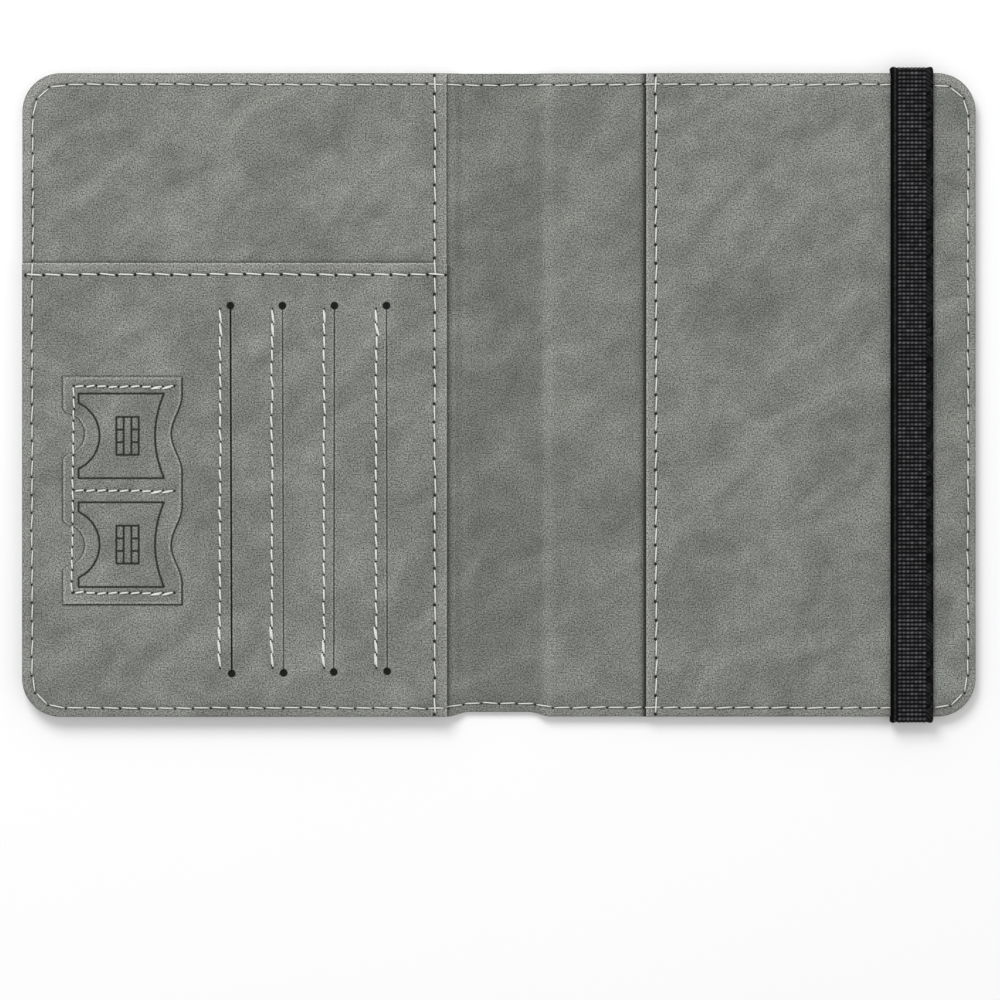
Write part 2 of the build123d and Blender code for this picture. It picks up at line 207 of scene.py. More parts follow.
@dataclass
class Surface:
    """Vertices and quads of one piece, with what its material reads at each vertex.

    Rest is where a point's pattern is taken from, mark how far painted light pales it or pressing
    and painted shade darken it, etch how far it lies from a pressed line, and finish says which
    material slot each quad has.
    """

    points: Array
    quads: Array
    rest: Array
    mark: Array
    finish: Array | None = None
    etch: Array | None = None

    def joined(self, other: "Surface") -> "Surface":
        """Join another surface to this one.

        Args:
            other: The surface whose points and quads follow this one's.

        Returns:
            Both as one, with slot 0 for the quads of a surface that names no slot.
        """
        finishes = [
            np.zeros(len(one.quads), np.int32) if one.finish is None else one.finish for one in (self, other)
        ]
        return Surface(
            np.concatenate([self.points, other.points]),
            np.concatenate([self.quads, other.quads + len(self.points)]),
            np.concatenate([self.rest, other.rest]),
            np.concatenate([self.mark, other.mark]),
            np.concatenate(finishes),
        )

    def build(
        self, name: str, materials: Sequence[bpy.types.Material], crease: float = 48.0
    ) -> bpy.types.Object:
        """Make the Blender object.

        Args:
            name: The piece's name.
            materials: Its material slots; finish holds each quad's slot.
            crease: Edges sharper than this many degrees are shaded as corners.

        Returns:
            The object, at the origin, with its place in its mesh.
        """
        mesh = bpy.data.meshes.new(name)
        mesh.from_pydata((self.points * MM).tolist(), [], self.quads.tolist())
        mesh.polygons.foreach_set("use_smooth", np.ones(len(self.quads), bool))
        if self.finish is not None:
            mesh.polygons.foreach_set("material_index", self.finish.astype(np.int32))
        rest = mesh.attributes.new("rest", "FLOAT_VECTOR", "POINT")
        rest.data.foreach_set("vector", self.rest.astype(np.float32).ravel())
        etch = np.full(len(self.points), UNPRESSED) if self.etch is None else self.etch
        for title, values in (("mark", self.mark), ("etch", etch)):
            made = mesh.attributes.new(title, "FLOAT", "POINT")
            made.data.foreach_set("value", values.astype(np.float32))
        mesh.update()
        mesh.set_sharp_from_angle(angle=np.radians(crease))
        for material in materials:
            mesh.materials.append(material)
        made = bpy.data.objects.new(name, mesh)
        bpy.context.scene.collection.objects.link(made)
        return made


def slab_quads(rows: int, columns: int) -> tuple[Array, Array]:
    """Quads of a closed slab, whose upper grid's points come first and whose lower grid's follow.

    Args:
        rows: Grid points along axis 0.
        columns: Grid points along axis 1.

    Returns:
        The quads of the upper face, the lower face and the wall between them, and the upper
        points round the grid's edge, in order.
    """
    count = rows * columns
    index = np.arange(count).reshape(rows, columns)
    up = np.stack([index[:-1, :-1], index[:-1, 1:], index[1:, 1:], index[1:, :-1]], -1).reshape(-1, 4)
    loop = np.concatenate([index[0, :-1], index[:-1, -1], index[-1, :0:-1], index[:0:-1, 0]])
    after = np.roll(loop, -1)
    wall = np.stack([loop + count, after + count, after, loop], -1)
    return np.concatenate([up, up[:, ::-1] + count, wall]), loop


def closed_slab(
    x: Array,
    y: Array,
    top: Array,
    bottom: Array,
    mark: Array,
    hide: Place,
    cut_edge: tuple[float, float] | None = None,
    etch: Array | None = None,
    grain_side: Array | None = None,
) -> Surface:
    """Close a sheet of leather: a top grid, a bottom grid and a wall round their edge.

    Args:
        x: Grid of x, rising along axis 1.
        y: Grid of y, rising along axis 0.
        top: Height of the upper face at each grid point.
        bottom: Height of the lower face.
        mark: How each point is marked: -1 pale with painted light, 0 plain leather, 1 dark from
            pressing or painted shade, 2 black with painted shade in a cut.
        hide: Where this piece was cut from the hide. The two halves of one sheet share it, so that
            the clouding runs on from one to the other, and no two sheets have the same clouding.
        cut_edge: For a raw edge, how far its foot stands out and how dark its foot is painted, as
            the shadow it casts.
        etch: Distance from each point to the edge of a pressed shape, below 0 inside it.
        grain_side: The face that shows, top or bottom. Depth in the leather is measured from it, so
            that its grain is the same wherever the sheet rises or falls.

    Returns:
        The closed surface, with its faces outwards.
    """
    quads, loop = slab_quads(*x.shape)
    foot_x, foot_y, foot_mark = x.copy(), y.copy(), mark.copy()
    if cut_edge is not None:
        out, shade = cut_edge
        foot_x[:, 0] -= out
        foot_x[:, -1] += out
        foot_y[0, :] -= out
        foot_y[-1, :] += out
        # the foot of a raw edge is painted dark as its shadow
        foot_mark.ravel()[loop] = shade
    upper = np.stack([x, y, top], -1).reshape(-1, 3)
    lower = np.stack([foot_x, foot_y, bottom], -1).reshape(-1, 3)
    points = np.concatenate([upper, lower])
    shown = (top if grain_side is None else grain_side).ravel()
    rest = points + np.array([hide[0], hide[1], 0.0])
    rest[:, 2] -= np.concatenate([shown, shown])
    marks = np.concatenate([mark.ravel(), foot_mark.ravel()])
    etched = None if etch is None else np.concatenate([etch.ravel(), etch.ravel()])
    return Surface(points, quads, rest, marks, etch=etched)


# ---------------------------------------------------------------------------------------------
# Finishes
# ---------------------------------------------------------------------------------------------


def add_node(
    tree: bpy.types.NodeTree,
    kind: str,
    inputs: dict[str | int, object] | None = None,
    **settings: object,
) -> bpy.types.Node:
    """Add a node, set its properties and fill or link its inputs.

    Args:
        tree: The tree that gets the node.
        kind: Blender's name of the node type.
        inputs: Input name or number to a value, or to the output socket that feeds it.
        **settings: Properties of the node, such as operation.

    Returns:
        The new node.
    """
    node = tree.nodes.new(kind)
    for name, value in settings.items():
        setattr(node, name, value)
    for key, value in (inputs or {}).items():
        if isinstance(value, bpy.types.NodeSocket):
            tree.links.new(value, node.inputs[key])
        else:
            node.inputs[key].default_value = value
    return node


def new_material(name: str) -> tuple[bpy.types.Material, bpy.types.NodeTree, bpy.types.Node]:
    """A node material with only a Principled shader and its output.

    Args:
        name: The material's name.

    Returns:
        The material, its node tree and its shader.
    """
    material = bpy.data.materials.new(name)
    material.use_nodes = True
    tree = material.node_tree
    tree.nodes.clear()
    shader = add_node(tree, "ShaderNodeBsdfPrincipled")
    add_node(tree, "ShaderNodeOutputMaterial", {"Surface": shader.outputs["BSDF"]})
    return material, tree, shader


@dataclass(frozen=True)
class CoatedLeather:
    """Coated microfibre leather, sanded to a nubuck-like nap: matte, clouded, with a sandy grain.

    The coating is rubbed unevenly, which the eye sees as long clouds and small patches. The nap
    scatters light, so that it has next to no gloss.

    Sizes are in millimetres: clouds 12 to 15, patches about 5. The real nap is about 0.1, too fine
    to show, and is drawn at about 0.3.
    """

    name: str
    shade: str
    cloud_light: str
    cloud_dark: str
    # pale: the colour of painted light and painted highlights
    pale: str
    # burnish: pressed lines, and also painted shade in furrows, creases and beside pocket mouths
    burnish: str = "#3e3f3d"
    # cut: painted shade inside slits, punched holes and at the foot of a raw edge
    cut: str = "#0c0c0b"
    cloud_size: float = 12.0
    cloud_stretch: float = 1.8
    cloud_turn: float = 37.0
    patch_size: float = 4.5
    patch_share: float = 0.34
    grain_size: float = 0.33
    grain_contrast: float = 0.86
    nap_height: float = 0.14
    roughness: float = 0.8
    etch_shade: float = 1.3
    lip_shade: float = 0.34
    lip_inside: float = -0.14

    def material(self) -> bpy.types.Material:
        """Long clouds and small patches tint the leather and a sandy grain mottles and roughens it.

        The mesh's mark then pales it with painted light and painted highlights (below 0), darkens it
        in pressed lines and with painted shade (up to 1) and blackens it with painted shade in cuts
        and holes (up to 2). Pressed shapes add to the mark inside the outline where the mesh's etch, a
        distance in millimetres, crosses 0, and most just inside it, where the die's edge bites.

        Returns:
            The finished material.
        """
        material, tree, shader = new_material(self.name)
        rest = add_node(tree, "ShaderNodeAttribute", attribute_name="rest").outputs["Vector"]
        mark = add_node(tree, "ShaderNodeAttribute", attribute_name="mark").outputs["Fac"]
        etch = add_node(tree, "ShaderNodeAttribute", attribute_name="etch").outputs["Fac"]
        past_lip = add_node(tree, "ShaderNodeMath", {0: etch, 1: self.lip_inside}, operation="SUBTRACT")
        from_lip = add_node(tree, "ShaderNodeMath", {0: past_lip.outputs[0]}, operation="ABSOLUTE")
        presses = (
            (from_lip.outputs[0], 0.24, 0.06, self.lip_shade),
            (etch, 0.08, -0.08, self.etch_shade),
        )
        for distance, outside, inside, shade in presses:
            share = add_node(
                tree, "ShaderNodeMapRange", {"Value": distance, "From Min": outside, "From Max": inside}
            ).outputs["Result"]
            mark = add_node(
                tree, "ShaderNodeMath", {0: share, 1: shade, 2: mark}, operation="MULTIPLY_ADD"
            ).outputs[0]
        streaked = add_node(
            tree,
            "ShaderNodeMapping",
            {
                "Vector": rest,
                "Rotation": (0.0, 0.0, np.radians(self.cloud_turn)),
                "Scale": (self.cloud_stretch, 1.0, 1.0),
            },
            vector_type="TEXTURE",
        ).outputs["Vector"]
        clouds, patches, grain = (
            add_node(tree, "ShaderNodeTexNoise", {"Vector": place, "Scale": 1 / size, **look}).outputs["Fac"]
            for place, size, look in (
                (streaked, self.cloud_size, {"Detail": 4.0, "Roughness": 0.55, "Distortion": 0.8}),
                (rest, self.patch_size, {"Detail": 3.0, "Roughness": 0.6, "Distortion": 0.4}),
                (rest, self.grain_size, {"Detail": 2.0, "Roughness": 0.6}),
            )
        )
        both = add_node(
            tree, "ShaderNodeMix", {0: self.patch_share, 2: clouds, 3: patches}, data_type="FLOAT"
        )
        spread = add_node(
            tree, "ShaderNodeMapRange", {"Value": both.outputs[0], "From Min": 0.34, "From Max": 0.66}
        )
        tint = add_node(tree, "ShaderNodeValToRGB", {"Fac": spread.outputs["Result"]})
        ramp = tint.color_ramp
        ramp.elements[0].color = linear(self.cloud_dark)
        ramp.elements[1].color = linear(self.cloud_light)
        ramp.elements.new(0.5).color = linear(self.shade)
        colour = tint.outputs["Color"]
        # painted light mixes towards pale, pressing and painted shade towards burnish, painted shade in cuts
        # towards cut
        for target, start, end in ((self.pale, 0.0, -1.0), (self.burnish, 0.0, 1.0), (self.cut, 1.0, 2.0)):
            share = add_node(
                tree, "ShaderNodeMapRange", {"Value": mark, "From Min": start, "From Max": end}
            ).outputs["Result"]
            colour = add_node(
                tree, "ShaderNodeMix", {0: share, 6: colour, 7: linear(target)}, data_type="RGBA"
            ).outputs[2]
        mottle = add_node(
            tree,
            "ShaderNodeMapRange",
            {
                "Value": grain,
                "From Min": 0.3,
                "From Max": 0.7,
                "To Min": 1.0 - self.grain_contrast,
                "To Max": 1.0 + self.grain_contrast,
            },
        ).outputs["Result"]
        grained = add_node(tree, "ShaderNodeVectorMath", {0: colour, "Scale": mottle}, operation="SCALE")
        nap = add_node(
            tree, "ShaderNodeBump", {"Height": grain, "Strength": 0.5, "Distance": self.nap_height * MM}
        )
        tree.links.new(grained.outputs["Vector"], shader.inputs["Base Color"])
        tree.links.new(nap.outputs["Normal"], shader.inputs["Normal"])
        shader.inputs["Roughness"].default_value = self.roughness
        shader.inputs["Specular IOR Level"].default_value = 0.22
        shader.inputs["Sheen Weight"].default_value = 0.08
        shader.inputs["Sheen Roughness"].default_value = 0.6
        return material


@dataclass(frozen=True)
class SewingThread:
    """Three-ply polyester sewing thread: pale, a little shiny, with a slanting twist.

    A ply of a 0.4 mm thread comes round about every 0.4 mm, so that the twist shows as short
    slanting stripes, whose dark is painted shade in the grooves between plies.
    """

    name: str
    light: str
    # dark: painted shade in the grooves between plies
    dark: str
    ply: float = 0.42
    ply_relief: float = 0.05

    def material(self) -> bpy.types.Material:
        """Stripes that wind round the thread, from its length (x) and turn (y) in the rest attribute.

        The stripe is the sine of length over the ply's size plus turn, in whole turns.

        Returns:
            The finished material.
        """
        material, tree, shader = new_material(self.name)
        rest = add_node(tree, "ShaderNodeAttribute", attribute_name="rest").outputs["Vector"]
        apart = add_node(tree, "ShaderNodeSeparateXYZ", {"Vector": rest})
        wave = apart.outputs["X"]
        turns = (("MULTIPLY", 1 / self.ply), ("ADD", apart.outputs["Y"]))
        steps = (*turns, ("MULTIPLY", 2 * np.pi), ("SINE", 0.0))
        for operation, by in steps:
            wave = add_node(tree, "ShaderNodeMath", {0: wave, 1: by}, operation=operation).outputs[0]
        share = add_node(tree, "ShaderNodeMapRange", {"Value": wave, "From Min": -1.0, "From Max": 0.4})
        colour = add_node(
            tree,
            "ShaderNodeMix",
            {0: share.outputs["Result"], 6: linear(self.dark), 7: linear(self.light)},
            data_type="RGBA",
        ).outputs[2]
        plies = add_node(
            tree, "ShaderNodeBump", {"Height": wave, "Strength": 0.4, "Distance": self.ply_relief * MM}
        )
        tree.links.new(colour, shader.inputs["Base Color"])
        tree.links.new(plies.outputs["Normal"], shader.inputs["Normal"])
        shader.inputs["Roughness"].default_value = 0.5
        shader.inputs["Sheen Weight"].default_value = 0.2
        return material


@dataclass(frozen=True)
class WovenElastic:
    """Woven elastic: black polyester over rubber cores, its ribs catching a little light.

    Its fibres are about 0.02 mm thick, too fine to show, and are drawn at 0.3 mm, so that each rib
    looks a little broken.
    """

    name: str
    ground: str
    # rib: painted highlight on the tops of the black ribs
    rib: str
    fibre_size: float = 0.3
    fuzz: float = 0.06

    def material(self) -> bpy.types.Material:
        """The mesh's mark says where a raised rib lies, painted in the rib colour as the light it catches,
        and fine fibres break up both colours.

        Returns:
            The finished material.
        """
        material, tree, shader = new_material(self.name)
        rest = add_node(tree, "ShaderNodeAttribute", attribute_name="rest").outputs["Vector"]
        mark = add_node(tree, "ShaderNodeAttribute", attribute_name="mark").outputs["Fac"]
        fibres = add_node(
            tree,
            "ShaderNodeTexNoise",
            {"Vector": rest, "Scale": 1 / self.fibre_size, "Detail": 2.0, "Roughness": 0.7},
        ).outputs["Fac"]
        broken = add_node(
            tree,
            "ShaderNodeMapRange",
            {"Value": fibres, "From Min": 0.3, "From Max": 0.7, "To Min": 0.5, "To Max": 1.3},
        ).outputs["Result"]
        share = add_node(tree, "ShaderNodeMath", {0: mark, 1: broken}, operation="MULTIPLY", use_clamp=True)
        colour = add_node(
            tree,
            "ShaderNodeMix",
            {0: share.outputs[0], 6: linear(self.ground), 7: linear(self.rib)},
            data_type="RGBA",
        ).outputs[2]
        raised = {"Height": fibres, "Strength": 0.4, "Distance": self.fuzz * MM}
        fuzz = add_node(tree, "ShaderNodeBump", raised)
        tree.links.new(colour, shader.inputs["Base Color"])
        tree.links.new(fuzz.outputs["Normal"], shader.inputs["Normal"])
        shader.inputs["Roughness"].default_value = 0.7
        shader.inputs["Specular IOR Level"].default_value = 0.05
        return material


@dataclass(frozen=True)
class PlainStock:
    """A plain material of the hidden pieces, from its two colours, its speck size and its roughness.

    The specks are the board's pulp, the foil's rolling marks or the cloth's yarns, in millimetres.
    """

    name: str
    light: str
    dark: str
    speck: float
    roughness: float
    metallic: float = 0.0
    relief: float = 0.05

    def material(self) -> bpy.types.Material:
        """Specks of the given size between two colours, with a slight bump.

        Returns:
            The finished material.
        """
        material, tree, shader = new_material(self.name)
        place = add_node(tree, "ShaderNodeTexCoord").outputs["Object"]
        specks = add_node(
            tree, "ShaderNodeTexNoise", {"Vector": place, "Scale": 1 / (self.speck * MM), "Detail": 3.0}
        ).outputs["Fac"]
        colour = add_node(
            tree, "ShaderNodeMix", {0: specks, 6: linear(self.dark), 7: linear(self.light)}, data_type="RGBA"
        ).outputs[2]
        bump = add_node(
            tree, "ShaderNodeBump", {"Height": specks, "Strength": 0.3, "Distance": self.relief * MM}
        )
        tree.links.new(colour, shader.inputs["Base Color"])
        tree.links.new(bump.outputs["Normal"], shader.inputs["Normal"])
        shader.inputs["Roughness"].default_value = self.roughness
        shader.inputs["Metallic"].default_value = self.metallic
        return material


class Stock(Enum):
    """Every finish on the wallet."""

    # each leather's fourth colour is the pale that its painted light and highlights mix towards
    OUTER = CoatedLeather(
        "coated_leather_outer",
        "#8a8c88",
        "#9c9f9a",
        "#757873",
        "#bebfbc",
        cloud_turn=143.0,
        cloud_size=15.0,
        patch_size=6.0,
        etch_shade=0.78,
        grain_size=0.28,
    )
    POCKETS = CoatedLeather("coated_leather_pockets", "#797b76", "#898c86", "#686b66", "#a6a5a4")
    LINING = CoatedLeather("coated_leather_lining", "#767873", "#848781", "#676a65", "#a6a6a4")
    THREAD = SewingThread("polyester_thread", "#f4f4f0", "#c6c6c1")
    NEEDLE_HOLE = PlainStock("needle_hole_shadow", "#161615", "#0a0a0a", 0.2, 0.95)
    # the rib colour is a painted highlight on black yarn
    ELASTIC = WovenElastic("woven_elastic", "#030303", "#78787c")
    BOARD = PlainStock("grey_board", "#6f6c66", "#57544f", 0.8, 0.9)
    FOIL = PlainStock("rolled_foil", "#c9cbcc", "#aeb0b2", 2.0, 0.35, 1.0)
    POUCH = PlainStock("black_polyester_cloth", "#151515", "#080808", 0.3, 0.85)

    @property
    def made(self) -> bpy.types.Material:
        """This finish's material, made once."""
        return bpy.data.materials.get(self.value.name) or self.value.material()


# ---------------------------------------------------------------------------------------------
# Sizes that the pieces share
# ---------------------------------------------------------------------------------------------


class Side(IntEnum):
    """The wallet's two halves, by the sign of their x."""

    FRONT = -1
    BACK = 1

    @property
    def title(self) -> str:
        """This half's word in the names of pieces and nodes."""
        return self.name.lower()


@dataclass
class Layout:
    """The wallet's plan and the height of each layer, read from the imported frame."""

    half_width: float
    half_height: float
    levels: dict[str, float]
    corner: float = 9.0
    fold_x: float = 4.5
    fold_reach: float = 2.6
    board_x: float = 10.5
    ramp: float = 2.3
    trim: float = 1.0
    trim_full_x: float = 7.0
    trim_none_x: float = 12.0
    seam_inset: float = 2.15
    seam_inset_top: float = 2.7
    seam_shift: float = 0.3
    trim_fade: float = 14.0
    squeezed: float = 12.0
    rows: Array = field(default_factory=lambda: np.zeros(0))

    @classmethod
    def from_frame(cls) -> "Layout":
        """Read the plan and the layer heights from the boxes of the CAD nodes.

        Returns:
            The layout, in millimetres.
        """
        tops = {
            "spine": "lining_spine",
            "lining": "lining_back",
            "boarding": "boarding_pocket",
            "panel": "card_slot_panel",
            "patch": "sim_pocket",
            "sleeve": "passport_sleeve",
            "band": "band_strand",
            "hem": "outer_back",
            "outer": "outer_spine",
        }
        levels = {name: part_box(node)[1].z / MM for name, node in tops.items()}
        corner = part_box("outer_back")[1]
        return cls(corner.x / MM, corner.y / MM, levels)

    @staticmethod
    def inwards(x: Array, y: Array, wide: float, high: float, radius: float) -> Array:
        """Distance inwards from a rounded rectangle round the origin, given half its width and height.

        Args:
            x: x of each point.
            y: y of each point.
            wide: Half of the width.
            high: Half of the height.
            radius: Corner radius.

        Returns:
            One distance for each point, below 0 outside.
        """
        over_x = np.abs(x) - (wide - radius)
        over_y = np.abs(y) - (high - radius)
        outside = np.hypot(np.maximum(over_x, 0.0), np.maximum(over_y, 0.0))
        return radius - outside - np.minimum(np.maximum(over_x, over_y), 0.0)

    def edge_distance(self, x: Array, y: Array) -> Array:
        """Distance inwards from the wallet's rounded outline."""
        return self.inwards(x, y, self.half_width, self.half_height, self.corner)

    @property
    def seam_outline(self) -> tuple[float, float, float, Place]:
        """Half width, half height, corner radius and middle (x, y) of the edge seam's path."""
        inset, top = self.seam_inset, self.seam_inset_top
        high = self.half_height - (inset + top) / 2
        return self.half_width - inset, high, self.corner - inset, (self.seam_shift, (inset - top) / 2)

    def seam_distance(self, x: Array, y: Array) -> Array:
        """Distance inwards from the edge seam, below 0 outside it."""
        wide, high, radius, (middle_x, middle_y) = self.seam_outline
        return self.inwards(x - middle_x, y - middle_y, wide, high, radius)

    def rise(self, x: Array) -> Array:
        """0 in the spine zone, 1 where the boards are, and a soft ramp between."""
        return smooth((np.abs(x) - (self.board_x - self.ramp)) / self.ramp)

    def trim_shift(self, x: Array, y: Array) -> Array:
        """How far the lower edge moves up in the spine zone, fading out further up.

        Args:
            x: x of each point.
            y: y of each point.

        Returns:
            One shift for each point.
        """
        near_spine = 1.0 - smooth((np.abs(x) - self.trim_full_x) / (self.trim_none_x - self.trim_full_x))
        near_edge = 1.0 - smooth((y + self.half_height) / self.trim_fade)
        return self.trim * near_spine * near_edge

    def cover_grid(self, columns: Array, side: Side) -> tuple[Array, Array]:
        """Grid over one cover, with its free corners rounded.

        The columns are distances from the spine's middle. The last few are squeezed towards the
        spine in the rows of a rounded corner, by as much as the circle is short of the edge there.

        Args:
            columns: Rising distances from the spine's middle.
            side: Which cover.

        Returns:
            x and y grids, x rising along axis 1 and y along axis 0.
        """
        rows = self.rows
        over = np.clip((np.abs(rows) - (self.half_height - self.corner)) / self.corner, 0.0, 1.0)
        short = self.corner * (1.0 - np.sqrt(1.0 - over**2))
        pivot = self.half_width - self.squeezed
        squeeze = np.clip((columns - pivot) / self.squeezed, 0.0, 1.0)
        x = columns[None, :] - short[:, None] * squeeze[None, :]
        y = np.repeat(rows[:, None], len(columns), axis=1)
        if side is Side.FRONT:
            x = -x[:, ::-1]
        return x, y

    def set_rows(self, low: float, high: float, coarse: float, marks: Marks) -> None:
        """Choose the grid's rows: even between the corners, and by equal turns round each corner.

        Args:
            low: Lowest row.
            high: Highest row.
            coarse: Spacing away from the marks.
            marks: (centre, reach, spacing) of each dense band.
        """
        straight = self.half_height - self.corner
        turns = np.sin(np.linspace(0.0, np.pi / 2, 36)) * self.corner
        inner = grid_lines(max(low, -straight), min(high, straight), coarse, marks)
        parts = [inner]
        if low < -straight:
            parts.insert(0, (-straight - turns)[:0:-1])
        if high > straight:
            parts.append((straight + turns)[1:])
        self.rows = np.concatenate(parts)


def bend_at_fold(piece: bpy.types.Object) -> None:
    """Bake a piece's place into its mesh; it lies on its cover and the spine and is not bent at the fold.

    Args:
        piece: The piece, which lies on both.
    """
    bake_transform(piece)


# ---------------------------------------------------------------------------------------------
# Seams
# ---------------------------------------------------------------------------------------------


@dataclass
class Seam:
    """One line of stitches through given needle holes.

    A stitch rises out of one hole, lies on the leather and dives into the next. Its height over
    its length is a flat arch, and its thickness narrows at both ends. Slant is how far its ends lie
    aside, gap how far they stop short of the holes' middles, and facing is 1 for a seam seen from
    above and -1 for one seen from below.
    """

    holes: Array
    level: Heights
    thread: float = 0.46
    slant: float = 0.12
    hole_size: float = 0.62
    facing: int = 1
    gap: float = 0.16
    hole_aside: float = 0.0
    hole_lift: float = -0.06

    RINGS = 7
    SIDES = 6

    def threads(self) -> Surface:
        """The stitches, each a narrow tube of seven rings with six sides.

        Returns:
            The tubes, with the share of each stitch as their rest place.
        """
        start, end = self.holes[:-1], self.holes[1:]
        along = end - start
        length = np.hypot(along[:, 0], along[:, 1])
        ahead = along / length[:, None]
        beside = np.column_stack([-ahead[:, 1], ahead[:, 0]])
        share = np.linspace(0.0, 1.0, self.RINGS)
        share = 0.5 + 0.5 * np.sign(share - 0.5) * np.abs(2 * share - 1) ** 0.8
        reach = (self.gap + share * (length[:, None] - 2 * self.gap)) / length[:, None]
        lean = (share - 0.5) * 2 * self.slant
        ahead_of_hole = reach[:, :, None] * along[:, None, :]
        centre = start[:, None, :] + ahead_of_hole + lean[None, :, None] * beside[:, None, :]
        arch = 1.0 - np.abs(2 * share - 1) ** 3
        lift = self.thread * (0.78 * arch - 0.36)
        height = self.level(centre[..., 0], centre[..., 1]) + self.facing * lift
        radius = self.thread / 2 * (0.62 + 0.38 * np.sqrt(np.maximum(arch, 0.0)))
        turn = np.arange(self.SIDES) * 2 * np.pi / self.SIDES
        across = np.cos(turn)[None, None, :] * radius[None, :, None]
        upward = np.sin(turn)[None, None, :] * radius[None, :, None] * 0.8
        points = np.empty((len(length), self.RINGS, self.SIDES, 3))
        points[..., :2] = centre[:, :, None, :] + across[..., None] * beside[:, None, None, :]
        points[..., 2] = height[:, :, None] + upward
        index = np.arange(self.RINGS * self.SIDES).reshape(self.RINGS, self.SIDES)
        around = np.roll(index, -1, axis=1)
        tube = np.stack([index[:-1], index[1:], around[1:], around[:-1]], -1).reshape(-1, 4)
        first, last = index[0], index[-1]
        caps = np.array([first[[0, 1, 2, 3]], first[[0, 3, 4, 5]], last[[3, 2, 1, 0]], last[[5, 4, 3, 0]]])
        one = np.concatenate([tube, caps])
        first_points = np.arange(len(length)) * self.RINGS * self.SIDES
        quads = (one[None] + first_points[:, None, None]).reshape(-1, 4)
        rest = np.zeros_like(points)
        rest[..., 0] = (share[None, :] * length[:, None])[:, :, None]
        rest[..., 1] = (np.arange(self.SIDES) / self.SIDES)[None, None, :]
        return Surface(points.reshape(-1, 3), quads, rest.reshape(-1, 3), np.zeros(points[..., 0].size))

    def pits(self) -> Surface:
        """The needle holes, each a shallow eight-sided lens that lies in the seam's furrow.

        Returns:
            The lenses, all of the second material.
        """
        count = len(self.holes)
        turn = np.arange(8) * np.pi / 4
        radius = self.hole_size / 2
        run = np.gradient(self.holes, axis=0)
        beside = np.column_stack([-run[:, 1], run[:, 0]]) / np.hypot(run[:, 0], run[:, 1])[:, None]
        centre = self.holes + self.hole_aside * beside
        points = np.empty((count, 10, 3))
        points[:, :8, 0] = centre[:, 0:1] + radius * np.cos(turn)
        points[:, :8, 1] = centre[:, 1:2] + radius * np.sin(turn)
        points[:, 8:, :2] = centre[:, None, :]
        base = self.level(self.holes[:, 0], self.holes[:, 1])[:, None] + self.facing * self.hole_lift
        points[:, :8, 2] = base
        points[:, 8:, 2] = base + np.array([0.05, -0.05])
        turn_index = np.arange(0, 8, 2)
        top = np.stack([turn_index, turn_index + 1, (turn_index + 2) % 8, np.full(4, 8)], -1)
        low = np.stack([np.full(4, 9), (turn_index + 2) % 8, turn_index + 1, turn_index], -1)
        quads = (np.concatenate([top, low])[None] + (np.arange(count) * 10)[:, None, None]).reshape(-1, 4)
        flat = points.reshape(-1, 3)
        return Surface(flat, quads, flat, np.zeros(len(flat)), np.ones(len(quads), np.int32))

    def surface(self) -> Surface:
        """Stitches and needle holes together."""
        return self.threads().joined(self.pits())


def even_holes(start: Place, end: Place, pitch: float, seed: int, wander: float = 0.06) -> Array:
    """Needle holes along a straight line, a little out of line as a machine leaves them.

    Args:
        start: First hole.
        end: Last hole.
        pitch: Wanted stitch length, rounded so that whole stitches fit.
        seed: Seed of the wander.
        wander: Largest usual sideways miss.

    Returns:
        One row per hole, x and y.
    """
    run = np.array(end) - np.array(start)
    length = float(np.hypot(*run))
    count = max(1, round(length / pitch))
    holes = np.array(start) + np.linspace(0.0, 1.0, count + 1)[:, None] * run
    draw = np.random.default_rng(seed)
    across = np.array([-run[1], run[0]]) / length
    return holes + draw.normal(0.0, wander, (count + 1, 1)) * across


def backtack(holes: Array, stitches: int, at_end: bool, seed: int) -> Array:
    """Holes of the few stitches sewn back over one end of a seam, a thread's width to the side.

    Args:
        holes: The seam's own holes.
        stitches: How many stitches go back.
        at_end: True for the seam's last end, False for its first.
        seed: Seed of the wander.

    Returns:
        One row per hole, x and y.
    """
    chosen = holes[-stitches - 1 :][::-1] if at_end else holes[: stitches + 1]
    draw = np.random.default_rng(seed)
    run = chosen[-1] - chosen[0]
    across = np.array([-run[1], run[0]]) / np.hypot(*run)
    along = run / np.hypot(*run)
    return chosen + across * 0.2 + draw.normal(0.0, 0.12, (len(chosen), 1)) * across + along * 0.5


# ---------------------------------------------------------------------------------------------
# Leather pieces
# ---------------------------------------------------------------------------------------------


